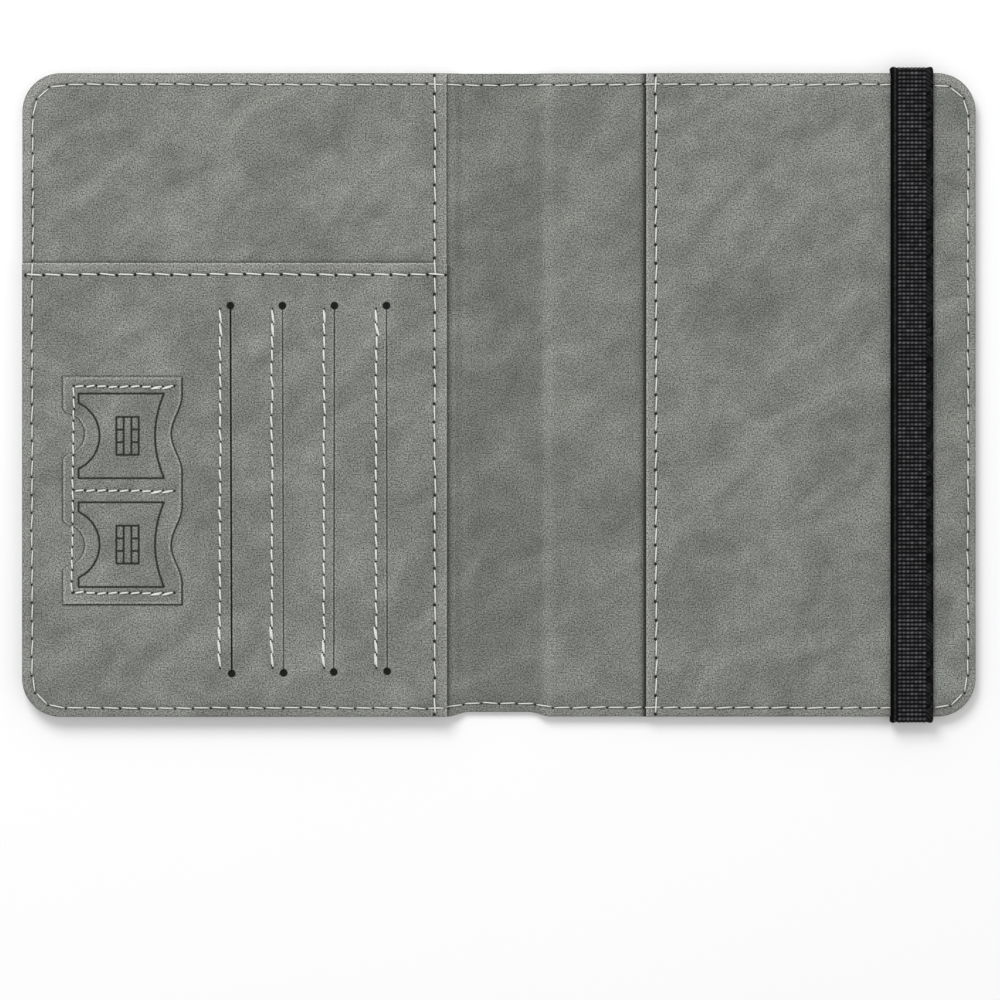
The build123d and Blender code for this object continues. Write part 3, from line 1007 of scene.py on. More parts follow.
@dataclass
class Leatherwork:
    """What the leather pieces share: the layout and the shapes of an edge, a fold and a furrow."""

    layout: Layout
    furrow_depth: float = 0.2
    furrow_reach: float = 0.5
    turned_width: float = 3.2
    turned_lift: float = 0.14
    pressed_depth: float = 0.14
    pressed_reach: float = 2.2
    fall_depth: float = 0.42
    fall_reach: float = 2.1

    def rim(self, x: Array, y: Array, radius: float) -> Array:
        """Height change near a sewn free edge.

        The edge is rolled over, the seam pulls a furrow, and the leather swells up again past it.

        Args:
            x: x of each point.
            y: y of each point.
            radius: How tightly the edge is rolled.

        Returns:
            One height change for each point.
        """
        distance, seam = self.layout.edge_distance(x, y), self.layout.seam_distance(x, y)
        pressed = self.pressed_depth * (1.0 - smooth((seam - 0.1) / self.pressed_reach))
        fall = self.fall_depth * (1.0 - np.clip(distance / self.fall_reach, 0.0, 1.0)) ** 1.5
        return -rolled(distance, radius) - pressed - fall - self.furrow_depth * dip(seam, self.furrow_reach)

    def rim_light_and_shade(self, x: Array, y: Array) -> Array:
        """Mark of a sewn free edge.

        It is pale outside the seam with painted light, most along the top where the light falls, and
        darkened by painted shade in the seam's furrow and in a thin line along the very edge.

        Args:
            x: x of each point.
            y: y of each point.

        Returns:
            One mark for each point: below 0 is pale, above 0 dark.
        """
        seam = self.layout.seam_distance(x, y)
        # painted light on the rim, stronger towards the top
        pale = -0.14 - 0.18 * smooth((y / self.layout.half_height + 0.2) / 1.1)
        # painted shade line along the rolled edge
        line = 0.34 * dip(self.layout.edge_distance(x, y), 0.24)
        # painted shade in the seam's furrow
        return pale * (1.0 - smooth((seam + 0.75) / 0.6)) + 0.24 * dip(seam, 0.4) + line

    def mouth_highlight(self, distance: Array) -> Array:
        """Mark of a turned pocket mouth: a painted highlight along the fold itself, and a little painted
        light to the seam.
        """
        return -0.54 * dip(distance - 0.12, 0.26) - 0.2 * (1.0 - smooth((distance - 1.5) / 0.7))

    def painted_mouth_shade(self, distance: Array, strength: float, reach: float) -> Array:
        """Mark of the leather beside a pocket mouth: painted shade that falls from the mouth's edge."""
        return strength * dip(np.maximum(distance, 0.0), reach) * (distance > -2.0)

    def turned(self, distance: Array, radius: float = 0.32) -> Array:
        """Height change near a pocket mouth, where the leather is turned under and topstitched."""
        swell = self.turned_lift * (1.0 - smooth((distance - self.turned_width) / 1.4))
        return swell - rolled(distance, radius)

    def furrow(self, distance: Array) -> Array:
        """Height change along a seam, from the distance to it."""
        return -self.furrow_depth * dip(distance, self.furrow_reach)

    @staticmethod
    def cut_flat(
        piece: bpy.types.Object, width: float, length: float, below: str, held: str = "laid"
    ) -> None:
        """Takes a piece cut from the flat and its size with the turned edges, and does nothing with them."""

    def lining_level(self, x: Array) -> Array:
        """Height of the lining's face away from its edges."""
        low, high = self.layout.levels["spine"], self.layout.levels["lining"]
        return low + (high - low) * self.layout.rise(x)


@dataclass
class OuterCover(Leatherwork):
    """One half of the outer leather: a cover, its turned hem and half of the spine."""

    side: Side = Side.BACK
    art: "Artwork | None" = None
    hide: Place = (-31.0, 400.0)
    hem_width: float = 4.0
    # where the painted highlight on the rounded spine bend reaches, how it fades and how pale it is
    fold_highlight_x: float = 5.8
    fold_highlight_fade: float = 7.5
    fold_highlight_mark: float = -0.68

    def columns(self) -> Array:
        """Distances from the spine's middle, dense at the fold, the debossed art and the free edge.

        Returns:
            The distances, rising.
        """
        edge = self.layout.half_width
        marks = [(self.layout.fold_x, 3.0, 0.3), (self.layout.board_x - 1.2, 1.4, 0.35), (edge, 3.4, 0.24)]
        if self.art:
            marks.append((self.art.rule_at[0], 38.2, 0.47))
        return grid_lines(0.0, edge, 1.6, marks)

    def surface(self) -> Surface:
        """Sheet whose lower face is the wallet's outside, thick along the hem and thin elsewhere.

        Returns:
            The closed sheet.
        """
        layout = self.layout
        bands = self.art.bands if self.art else []
        layout.set_rows(-layout.half_height, layout.half_height, 1.8, bands)
        x, y = layout.cover_grid(self.columns(), self.side)
        distance = layout.edge_distance(x, y)
        shown = y + layout.trim_shift(x, y)
        hem = 1.0 - smooth((distance - self.hem_width + 0.4) / 0.4)
        single, doubled = layout.levels["outer"], layout.levels["hem"]
        thick = single + (doubled - single) * hem * layout.rise(x)
        outside = 0.06 * (1.0 - smooth((distance - 2.4) / 3.0))
        outside = outside + self.furrow_depth * dip(layout.seam_distance(x, y), self.furrow_reach)
        bottom = outside + rolled(distance, 0.75)
        etch = self.art.outline(x, shown) if self.art else np.full_like(x, UNPRESSED)
        bottom = bottom + 0.16 * (1.0 - smooth((etch + 0.3) / 0.5))
        top = np.maximum(thick - rolled(distance, 0.6) - 0.02, bottom + 0.12)
        # painted highlight that runs out from the spine fold, with a wavy edge
        wander = 0.9 * np.sin(y / 8.0) + 0.5 * np.sin(y / 3.1 + 1.0)
        fold = 1.0 - smooth((np.abs(x) - self.fold_highlight_x - wander) / self.fold_highlight_fade)
        fold_highlight = self.fold_highlight_mark * fold * (0.5 + 0.5 * smooth((np.abs(x) - 1.8) / 3.0))
        mark = self.rim_light_and_shade(x, y) + fold_highlight
        return closed_slab(x, shown, top, bottom, mark, self.hide, etch=etch, grain_side=bottom)

    def build(self) -> bpy.types.Object:
        """Make the cover and put it in place of its CAD nodes.

        Returns:
            The finished piece.
        """
        name = self.side.title
        piece = self.surface().build(f"outer_leather_{name}", [Stock.OUTER.made])
        bend_at_fold(piece)
        width = self.layout.half_width + self.hem_width
        length = 2 * (self.layout.half_height + self.hem_width)
        self.cut_flat(piece, width, length, f"board_{name}", held="folded")
        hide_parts(f"outer_{name}", *(["outer_spine"] if self.side is Side.BACK else []))
        return piece


@dataclass(frozen=True)
class Artwork:
    """Plain pictures pressed into the front cover's outside, seen from outside with the spine at left.

    A passenger plane, a row of lozenges and rings above it, and two short rules near the bottom.
    """

    plane_at: Place = (54.5, 21.0)
    plane_length: float = 21.0
    plane_span: float = 20.5
    body_width: float = 2.2
    row_at: Place = (57.0, 44.5)
    row_count: int = 7
    row_spacing: float = 11.0
    motif_height: float = 10.0
    motif_width: float = 7.0
    line_width: float = 1.3
    rule_at: Place = (57.3, -49.2)
    rule_length: float = 33.0
    rule_gap: float = 2.6
    rule_half: float = 0.32

    @property
    def bands(self) -> Marks:
        """Dense rows of the cover's grid across the ornaments, the plane and the rules."""
        return [(self.row_at[1], 5.6, 0.44), (self.plane_at[1], 10.8, 0.46), (self.rule_at[1], 2.2, 0.26)]

    def plane(self) -> list[Array]:
        """Corners of each wing and fin, with the nose towards the spine.

        Returns:
            One closed shape for each wing and fin.
        """
        cx, cy = self.plane_at
        long, span = self.plane_length, self.plane_span
        shapes = []
        for up in (-1, 1):
            shapes.append([
                (cx - 0.22 * long, cy),
                (cx - 0.10 * long, cy + up * span * 0.14),
                (cx + 0.135 * long, cy + up * span * 0.49),
                (cx + 0.165 * long, cy + up * span * 0.5),
                (cx + 0.214 * long, cy + up * span * 0.5),
                (cx + 0.06 * long, cy),
            ])
            shapes.append([
                (cx + 0.33 * long, cy),
                (cx + 0.45 * long, cy + up * span * 0.18),
                (cx + 0.5 * long, cy + up * span * 0.19),
                (cx + 0.455 * long, cy),
            ])
        return [np.array(shape) for shape in shapes]

    def outline(self, x: Array, y: Array) -> Array:
        """Distance to the nearest pressed shape's edge, below 0 inside it.

        Args:
            x: x of each point.
            y: y of each point.

        Returns:
            One distance for each point, held between -3 and 3.
        """
        out = -x
        signed = np.full(x.shape, FAR)
        for corners in self.plane():
            away = distance_to_path(out, y, np.concatenate([corners, corners[:1]]))
            signed = np.minimum(signed, np.where(inside_polygon(out, y, corners), -away, away))
        cx, cy = self.plane_at
        nose, tail = cx - (self.plane_length - self.body_width) / 2, cx + 0.4 * self.plane_length
        body = distance_to_segment(out, y, np.array([nose, cy]), np.array([tail, cy]))
        signed = np.minimum(signed, body - self.body_width / 2)
        for i in range(self.row_count):
            mx = self.row_at[0] + (i - (self.row_count - 1) / 2) * self.row_spacing
            dx, dy = np.abs(out - mx), np.abs(y - self.row_at[1])
            if i % 2 == 0:
                slope = np.hypot(self.motif_height, self.motif_width) / 2
                lozenge = (dx * self.motif_height / 2 + dy * self.motif_width / 2) / slope
                size = self.motif_height * self.motif_width / 4 / slope
                motif = np.abs(lozenge - size + self.line_width / 2) - self.line_width / 2
            else:
                ring = np.hypot(dx, dy) - self.motif_width / 2
                motif = np.abs(ring + self.line_width / 2) - self.line_width / 2
            signed = np.minimum(signed, motif)
        rx, ry = self.rule_at
        for up in (-1, 1):
            start = np.array([rx - self.rule_length / 2, ry + up * self.rule_gap / 2])
            end = np.array([rx + self.rule_length / 2, ry + up * self.rule_gap / 2])
            signed = np.minimum(signed, distance_to_segment(out, y, start, end) - self.rule_half)
        return np.where(x < 0, np.clip(signed, -3.0, 3.0), 3.0)


@dataclass
class Lining(Leatherwork):
    """One half of the lining: flat on the board, down a soft ramp, and half of the spine."""

    side: Side = Side.BACK
    hide: Place = (170.0, 90.0)

    def surface(self) -> Surface:
        """Sheet that follows the board, the ramp and the spine, with its edge sewn down.

        Returns:
            The closed sheet.
        """
        layout = self.layout
        edge = layout.half_width
        marks = [(layout.fold_x, 3.0, 0.3), (layout.board_x - 1.2, 2.0, 0.2), (edge, 3.4, 0.24)]
        marks += [(23.0, 10.0, 0.8), (33.9, 1.2, 0.12), (12.3, 0.9, 0.12)]
        layout.set_rows(-layout.half_height, layout.half_height, 1.4, [])
        x, y = layout.cover_grid(grid_lines(0.0, edge, 1.8, marks), self.side)
        shown = y + layout.trim_shift(x, y)
        level = self.lining_level(x)
        crest = 0.1 * dip(np.abs(x) - layout.board_x - 0.1, 0.9)
        slack = 0.05 * np.sin(y / 21.0 + 0.7) * dip(np.abs(x) - 15.5, 3.0)
        top = level + crest + slack + self.rim(x, y, 0.34)
        bottom = level - 0.58
        top = np.maximum(top, bottom + 0.1)
        # painted shade over the spine zone, fading out towards the board
        spine_shade = 0.14 * smooth((11.5 + self.side * 2.0 + x * -self.side) / 5.0)
        if self.side is Side.BACK:
            # painted highlight along the crest where the lining rises onto the back board
            crest_highlight = -0.22 * dip(np.abs(x) - layout.board_x - 0.8, 1.5)
            beside = PassportSleeve.mouth_x - x
            # painted shadow on the lining beside the sleeve's mouth
            hidden = self.painted_mouth_shade(beside, 0.85, 0.5) + self.painted_mouth_shade(beside, 0.95, 1.1)
        else:
            crest_highlight = np.zeros_like(x)
            # painted shadow on the lining beside the boarding pocket's mouth
            hidden = self.painted_mouth_shade(BoardingPocket.mouth_x + x, 0.42, 0.5)
        mark = self.rim_light_and_shade(x, y) + spine_shade + crest_highlight + hidden
        return closed_slab(x, shown, top, bottom, mark, self.hide)

    def build(self) -> bpy.types.Object:
        """Make the half and put it in place of its CAD nodes.

        Returns:
            The finished piece.
        """
        name = self.side.title
        piece = self.surface().build(f"lining_leather_{name}", [Stock.LINING.made])
        bend_at_fold(piece)
        self.cut_flat(piece, self.layout.half_width, 2 * self.layout.half_height, f"board_{name}")
        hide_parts(f"lining_{name}", *(["lining_spine"] if self.side is Side.BACK else []))
        return piece


@dataclass
class BoardingPocket(Leatherwork):
    """Full-height pocket panel in the front cover, open towards the spine."""

    mouth_x: float = 12.2
    seam_x: float = 14.9
    hide: Place = (-640.0, 33.0)

    def surface(self) -> Surface:
        """Panel with a sewn rim on three sides and a turned, topstitched mouth.

        Returns:
            The closed panel.
        """
        layout = self.layout
        edge = layout.half_width
        marks = [(self.mouth_x, 0.9, 0.1), (self.seam_x, 1.0, 0.2), (edge, 3.4, 0.24)]
        layout.set_rows(-layout.half_height, layout.half_height, 1.4, [(CardPanel.top_y, 1.3, 0.13)])
        x, y = layout.cover_grid(grid_lines(self.mouth_x, edge, 1.6, marks), Side.FRONT)
        mouth = -x - self.mouth_x
        top = layout.levels["boarding"] + self.rim(x, y, 0.34) + self.turned(mouth)
        top = top + self.furrow(x + self.seam_x)
        bottom = np.full_like(x, layout.levels["lining"] + 0.02) + rolled(mouth, 0.2)
        top = np.maximum(top, bottom + 0.08)
        # painted shadow on the pocket under the card panel's top edge, fading out at the mouth seam
        shadow = self.painted_mouth_shade(y - CardPanel.top_y, 0.75, 0.5) * smooth((-x - self.seam_x + 0.4) / 0.8)
        # painted light at the rim and the mouth's fold, and painted shade in the mouth seam's furrow
        mark = self.rim_light_and_shade(x, y) + self.mouth_highlight(mouth) + 0.2 * dip(x + self.seam_x, 0.4) + shadow
        return closed_slab(x, y, top, bottom, mark, self.hide)

    def build(self) -> bpy.types.Object:
        """Make the panel in place of its CAD node.

        Returns:
            The finished piece.
        """
        piece = self.surface().build("boarding_pocket_leather", [Stock.POCKETS.made])
        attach(piece, "front_cover")
        width = self.layout.half_width - self.mouth_x + self.turned_width
        self.cut_flat(piece, width, 2 * self.layout.half_height, "lining_leather_front")
        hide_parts("boarding_pocket")
        return piece


@dataclass
class CardPanel(Leatherwork):
    """Lower panel in the front cover, with four slits between punched holes."""

    mouth_x: float = 12.1
    top_y: float = 30.7
    top_seam_y: float = 28.0
    seam_x: float = BoardingPocket.seam_x
    hide: Place = (-30.0, -500.0)
    first_slit: float = -62.5
    slit_spacing: float = 12.1
    slit_ends: tuple[float, float] = (-64.6, 20.7)
    slit_seam: float = 2.4
    slit_seam_ends: tuple[float, float] = (-63.6, 20.0)
    punch: float = 1.8
    cuts: tuple[float, ...] = (0.32, 0.16, 0.18, 0.16)
    # how dark each slit is painted, as the shade inside it
    slit_shade: tuple[float, ...] = (2.0, 0.6, 0.75, 0.66)
    slit_lean: tuple[float, ...] = (0.3, 0.28, -0.15, 0.18)
    slit_drop: tuple[float, ...] = (-0.3, -0.15, 0.06, 0.22)

    @property
    def slits(self) -> Array:
        """x of each slit, from the free edge towards the spine."""
        return self.first_slit + self.slit_spacing * np.arange(4)

    def surface(self) -> Surface:
        """Panel with a sewn rim, turned edges at the mouth and the top, and four cut slits.

        Beside each slit the leather that a card pushes up stands a little higher on the left than
        on the right, and each end of the slit is a punched round hole. Thin painted highlights run
        along both lips of a slit, and painted shade darkens the slit, its holes and the seams' furrows.

        Returns:
            The closed panel.
        """
        layout = self.layout
        edge = layout.half_width
        marks = [(self.mouth_x, 0.9, 0.1), (self.seam_x, 1.0, 0.2), (edge, 3.4, 0.24)]
        for slit in self.slits:
            marks += [(-slit, 0.5, 0.05), (-slit, 1.5, 0.14), (-slit + self.slit_seam, 0.9, 0.18)]
        rows = [(self.slit_ends[0], 1.5, 0.14), (self.slit_ends[1], 1.5, 0.14)]
        rows += [(self.top_seam_y, 1.0, 0.2), (self.top_y, 0.9, 0.1)]
        layout.set_rows(-layout.half_height, self.top_y, 1.4, rows)
        x, y = layout.cover_grid(grid_lines(self.mouth_x, edge, 1.5, marks), Side.FRONT)
        distance = layout.edge_distance(x, y)
        mouth, under_top = -x - self.mouth_x, self.top_y - y
        fold = np.minimum(mouth, under_top)
        top = layout.levels["panel"] + self.rim(x, y, 0.34) + self.turned(fold, 0.34)
        seams = np.minimum(np.abs(x + self.seam_x), np.abs(y - self.top_seam_y))
        past_seam = smooth((x + self.seam_x + 0.4) / 0.8)
        # painted highlight along the turned mouth and top edges
        worn = self.mouth_highlight(fold) * (1.0 - past_seam) + self.mouth_highlight(mouth) * past_seam
        # painted light and shade at the rim, and painted shade in the seams' furrows
        mark = self.rim_light_and_shade(x, y) + worn + 0.2 * dip(seams, 0.4)
        top = top + self.furrow(seams)
        low, high = self.slit_ends
        within = smooth((y - low + 1.0) / 4.0) * smooth((high + 1.0 - y) / 4.0)
        looks = zip(self.slits, self.cuts, self.slit_shade, self.slit_lean, self.slit_drop)
        for slit, cut, dark, lean, drop in looks:
            foot = np.array([slit + lean, low + drop])
            sewn = slit - self.slit_seam
            seam = distance_to_segment(x, y, np.array([sewn, low]), np.array([sewn, high]))
            top = top + 0.7 * self.furrow(seam)
            offset = x - slit - lean * np.clip((high - y) / (high - low), 0.0, 1.0)
            lip = np.where(offset < 0, 0.12 * dip(offset, 1.6), -0.1 * dip(offset, 3.5))
            top = top + lip * within
            line = distance_to_segment(x, y, np.array([slit, high]), foot)
            hole = np.minimum(np.hypot(x - slit, y - high), np.hypot(x - foot[0], y - foot[1]))
            slot = 1.0 - smooth((line - cut / 2) / 0.07)
            hole = 1.0 - smooth((hole - self.punch / 2 + 0.08) / 0.12)
            top = top - 0.3 * slot - 0.35 * hole
            # painted highlights along both lips of the slit
            lip_highlight = -0.28 * dip(np.abs(offset) - 0.36, 0.16) * within
            # painted shade inside the slit and its punched holes, and in the slit seam's furrow
            cuts = np.maximum(dark * slot, 2.0 * hole)
            mark = np.where(cuts > 0.05, np.maximum(cuts, mark), mark + lip_highlight + 0.16 * dip(seam, 0.4))
        hem = 1.0 - smooth((np.minimum(distance, mouth) - 3.6) / 0.5)
        bottom = layout.levels["panel"] - 0.6 - 0.58 * hem + rolled(np.minimum(mouth, under_top), 0.15)
        top = np.maximum(top, bottom + 0.06)
        return closed_slab(x, y, top, bottom, mark, self.hide)

    def build(self) -> bpy.types.Object:
        """Make the panel in place of its CAD node.

        Returns:
            The finished piece.
        """
        piece = self.surface().build("card_panel_leather", [Stock.POCKETS.made])
        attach(piece, "front_cover")
        width = self.layout.half_width - self.mouth_x + self.turned_width
        length = self.layout.half_height + self.top_y + self.turned_width
        self.cut_flat(piece, width, length, "boarding_pocket_leather")
        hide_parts("card_slot_panel")
        return piece


@dataclass
class CardPatch(Leatherwork):
    """Small patch pocket for two tiny cards, with finger notches at left and a wavy mouth at right."""

    left: float = -101.5
    right: float = -73.8
    top_y: float = 4.2
    bottom_y: float = -48.8
    notch_x: float = -96.4
    notch_half: float = 4.9
    wave_x: float = -76.3
    wave_half: float = 9.0
    slots: tuple[float, float] = (-9.1, -35.0)
    seam_left: float = -98.9
    seam_right: float = -75.5
    seam_rows: tuple[float, float, float] = (2.0, -22.2, -46.1)
    press_left: float = -97.8
    press_right: float = -77.9
    press_half: float = 9.85
    press_notch: float = -92.9
    press_waist: float = -80.0
    press_drop: tuple[float, float] = (-0.5, 0.1)
    line: float = 0.22
    hide: Place = (-60.0, 720.0)
    contact_x: float = -86.4
    contact_half: tuple[float, float] = (2.6, 4.4)
    contact_bar: float = 0.9

    def left_edge(self, y: Array) -> Array:
        """x of the left side: straight, with a round notch and softened corners at each card.

        Args:
            y: y of each point.

        Returns:
            One x for each y.
        """
        edge = np.full(np.shape(y), self.left)
        depth = self.notch_x - self.left
        radius = (self.notch_half**2 + depth**2) / (2 * depth)
        for slot in self.slots:
            away = np.abs(y - slot)
            arc = self.notch_x - radius + np.sqrt(np.maximum(radius**2 - away**2, 0.0))
            flare = self.left + 1.3 * (1.0 - smooth((away - self.notch_half + 0.55) / 1.5))
            edge = np.maximum(edge, np.where(away < self.notch_half, arc, self.left))
            edge = np.where(away < self.notch_half + 1.2, np.maximum(edge, flare), edge)
        return edge

    def right_edge(self, y: Array) -> Array:
        """x of the right side: a raised cosine dips in at each card.

        Args:
            y: y of each point.

        Returns:
            One x for each y.
        """
        edge = np.full(np.shape(y), self.right)
        for slot in self.slots:
            share = np.clip(np.abs(y - slot) / self.wave_half, 0.0, 1.0)
            edge = edge + (self.wave_x - self.right) * 0.5 * (1.0 + np.cos(np.pi * share))
        return edge

    def outline(self, slot: float) -> Array:
        """Pressed outline of one card: straight top and bottom, an arc at left and a waist at right.

        Args:
            slot: y of the card's middle.

        Returns:
            The outline's corners, the first repeated at the end.
        """
        low, high = slot - self.press_half, slot + self.press_half
        bulge = np.linspace(-1.0, 1.0, 15)
        depth, half = self.press_notch - self.press_left, 7.7
        radius = (half**2 + depth**2) / (2 * depth)
        arc_y = slot + bulge * half
        arc_x = self.press_notch - radius + np.sqrt(radius**2 - (bulge * half) ** 2)
        waist_y = slot - bulge * self.press_half
        waist_x = self.press_waist + (self.press_right - self.press_waist) * bulge**2
        left_side = np.column_stack([arc_x, arc_y])
        right_side = np.column_stack([waist_x, waist_y])
        start = np.array([[self.press_left, low]])
        end = np.array([[self.press_left, high]])
        return np.concatenate([start, left_side, end, right_side, start])

    def contact_lines(self, slot: float) -> list[Array]:
        """Lines of a plain chip-contact picture: a frame, a bar across and three pads a side.

        Args:
            slot: y of the card's middle.

        Returns:
            One run of corners for each line.
        """
        (half_w, half_h), bar = self.contact_half, self.contact_bar
        box = half_w * np.array([-1, 1, 1, -1, -1]), half_h * np.array([-1, -1, 1, 1, -1])
        lines = [np.column_stack(box)]
        for share in (-1 / 3, 1 / 3):
            lines.append(np.array([(-half_w, share * half_h), (-bar, share * half_h)]))
            lines.append(np.array([(bar, share * half_h), (half_w, share * half_h)]))
        lines.append(np.array([(-bar, -half_h), (-bar, half_h)]))
        lines.append(np.array([(bar, -half_h), (bar, half_h)]))
        return [line + np.array([self.contact_x, slot]) for line in lines]

    def surface(self) -> Surface:
        """Patch between its two curved sides, with its rim rolled, its picture pressed in and its edge
        painted with light and shade.

        Returns:
            The closed patch.
        """
        layout = self.layout
        ends = [(self.bottom_y, 0.5, 0.1), (self.top_y, 0.5, 0.1)]
        rows = grid_lines(self.bottom_y, self.top_y, 0.24, ends)
        rim_steps = np.array([0.0, 0.003, 0.006, 0.01, 0.015, 0.021])
        share = np.concatenate([rim_steps, np.linspace(0.028, 0.972, 112), 1.0 - rim_steps[::-1]])
        y = np.repeat(rows[:, None], len(share), axis=1)
        start, end = self.left_edge(y), self.right_edge(y)
        x = start + share[None, :] * (end - start)
        rim = np.minimum(np.minimum(x - start, end - x), np.minimum(y - self.bottom_y, self.top_y - y))
        seam, pressed = np.full_like(x, FAR), np.full_like(x, FAR)
        for line in self.seam_paths():
            seam = np.minimum(seam, distance_to_path(x, y, line))
        for slot, drop in zip(self.slots, self.press_drop):
            for line in (self.outline(slot + drop), *self.contact_lines(slot + drop)):
                pressed = np.minimum(pressed, distance_to_path(x, y, line))
        etch = pressed - self.line
        top = layout.levels["patch"] - 0.12 - rolled(rim, 0.25) + 0.8 * self.furrow(seam)
        top = top - 0.17 * (1.0 - smooth((etch + 0.12) / 0.24))
        bottom = np.full_like(x, layout.levels["panel"] - 0.04)
        # the top and left sides of the patch face the light
        lit = np.maximum(smooth((y - self.top_y + 0.6) / 0.3), 0.7 * smooth((start - x + 0.6) / 0.3))
        # painted shade along the cut edge, weaker on the lit sides, and a painted highlight just inside it
        edge = (1.1 - 0.75 * lit) * (1.0 - smooth((rim - 0.05) / 0.14)) - 0.62 * dip(rim - 0.4, 0.2)
        # painted shade in the seam's furrow
        mark = 0.2 * dip(seam, 0.4) + edge
        # cut_edge paints a shadow at the patch's foot
        return closed_slab(x, y, top, bottom, mark, self.hide, cut_edge=(0.3, 1.5), etch=etch)

    def seam_paths(self) -> list[Array]:
        """The seam's three rows and its upright, as straight paths.

        Returns:
            One run of corners for each line of stitches.
        """
        rows = [np.array([(self.seam_left, y), (self.seam_right, y)]) for y in self.seam_rows]
        upright = np.array([(self.seam_left, self.seam_rows[0]), (self.seam_left, self.seam_rows[-1])])
        return [*rows, upright]

    def level(self, x: Array, y: Array) -> Array:
        """Height that the seam lies on: the patch, or the card panel where a notch is open."""
        on_patch = (x > self.left_edge(y)) & (x < self.right_edge(y))
        return np.where(on_patch, self.layout.levels["patch"] - 0.12, self.layout.levels["panel"])

    def build(self) -> bpy.types.Object:
        """Make the patch in place of its CAD node.

        Returns:
            The finished piece.
        """
        piece = self.surface().build("small_card_patch_leather", [Stock.POCKETS.made])
        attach(piece, "front_cover")
        self.cut_flat(piece, self.right - self.left, self.top_y - self.bottom_y, "card_panel_leather")
        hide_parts("sim_pocket")
        return piece


@dataclass
class PassportSleeve(Leatherwork):
    """Sleeve panel in the back cover, open towards the spine."""

    mouth_x: float = 34.3
    seam_x: float = 36.6
    hide: Place = (260.0, -310.0)

    def surface(self) -> Surface:
        """Panel with a sewn rim on three sides and a turned, topstitched mouth.

        Returns:
            The closed panel.
        """
        layout = self.layout
        edge = layout.half_width
        marks = [(self.mouth_x, 0.9, 0.1), (self.seam_x, 1.0, 0.2), (edge, 3.4, 0.24)]
        layout.set_rows(-layout.half_height, layout.half_height, 1.4, [])
        x, y = layout.cover_grid(grid_lines(self.mouth_x, edge, 1.8, marks), Side.BACK)
        mouth = x - self.mouth_x
        top = layout.levels["sleeve"] + self.rim(x, y, 0.36) + self.turned(mouth, 0.4)
        top = top + self.furrow(x - self.seam_x)
        bottom = np.full_like(x, layout.levels["lining"] + 0.02) + rolled(mouth, 0.25)
        top = np.maximum(top, bottom + 0.08)
        # painted light at the rim and along the mouth's fold, and painted shade in the seam's furrow
        mark = self.rim_light_and_shade(x, y) + self.mouth_highlight(mouth) + 0.2 * dip(x - self.seam_x, 0.4)
        return closed_slab(x, y, top, bottom, mark, self.hide)

    def build(self) -> bpy.types.Object:
        """Make the panel in place of its CAD node.

        Returns:
            The finished piece.
        """
        piece = self.surface().build("passport_sleeve_leather", [Stock.POCKETS.made])
        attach(piece, "back_cover")
        width = self.layout.half_width - self.mouth_x + self.turned_width
        self.cut_flat(piece, width, 2 * self.layout.half_height, "lining_leather_back")
        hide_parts("passport_sleeve")
        return piece


# ---------------------------------------------------------------------------------------------
# Thread
# ---------------------------------------------------------------------------------------------


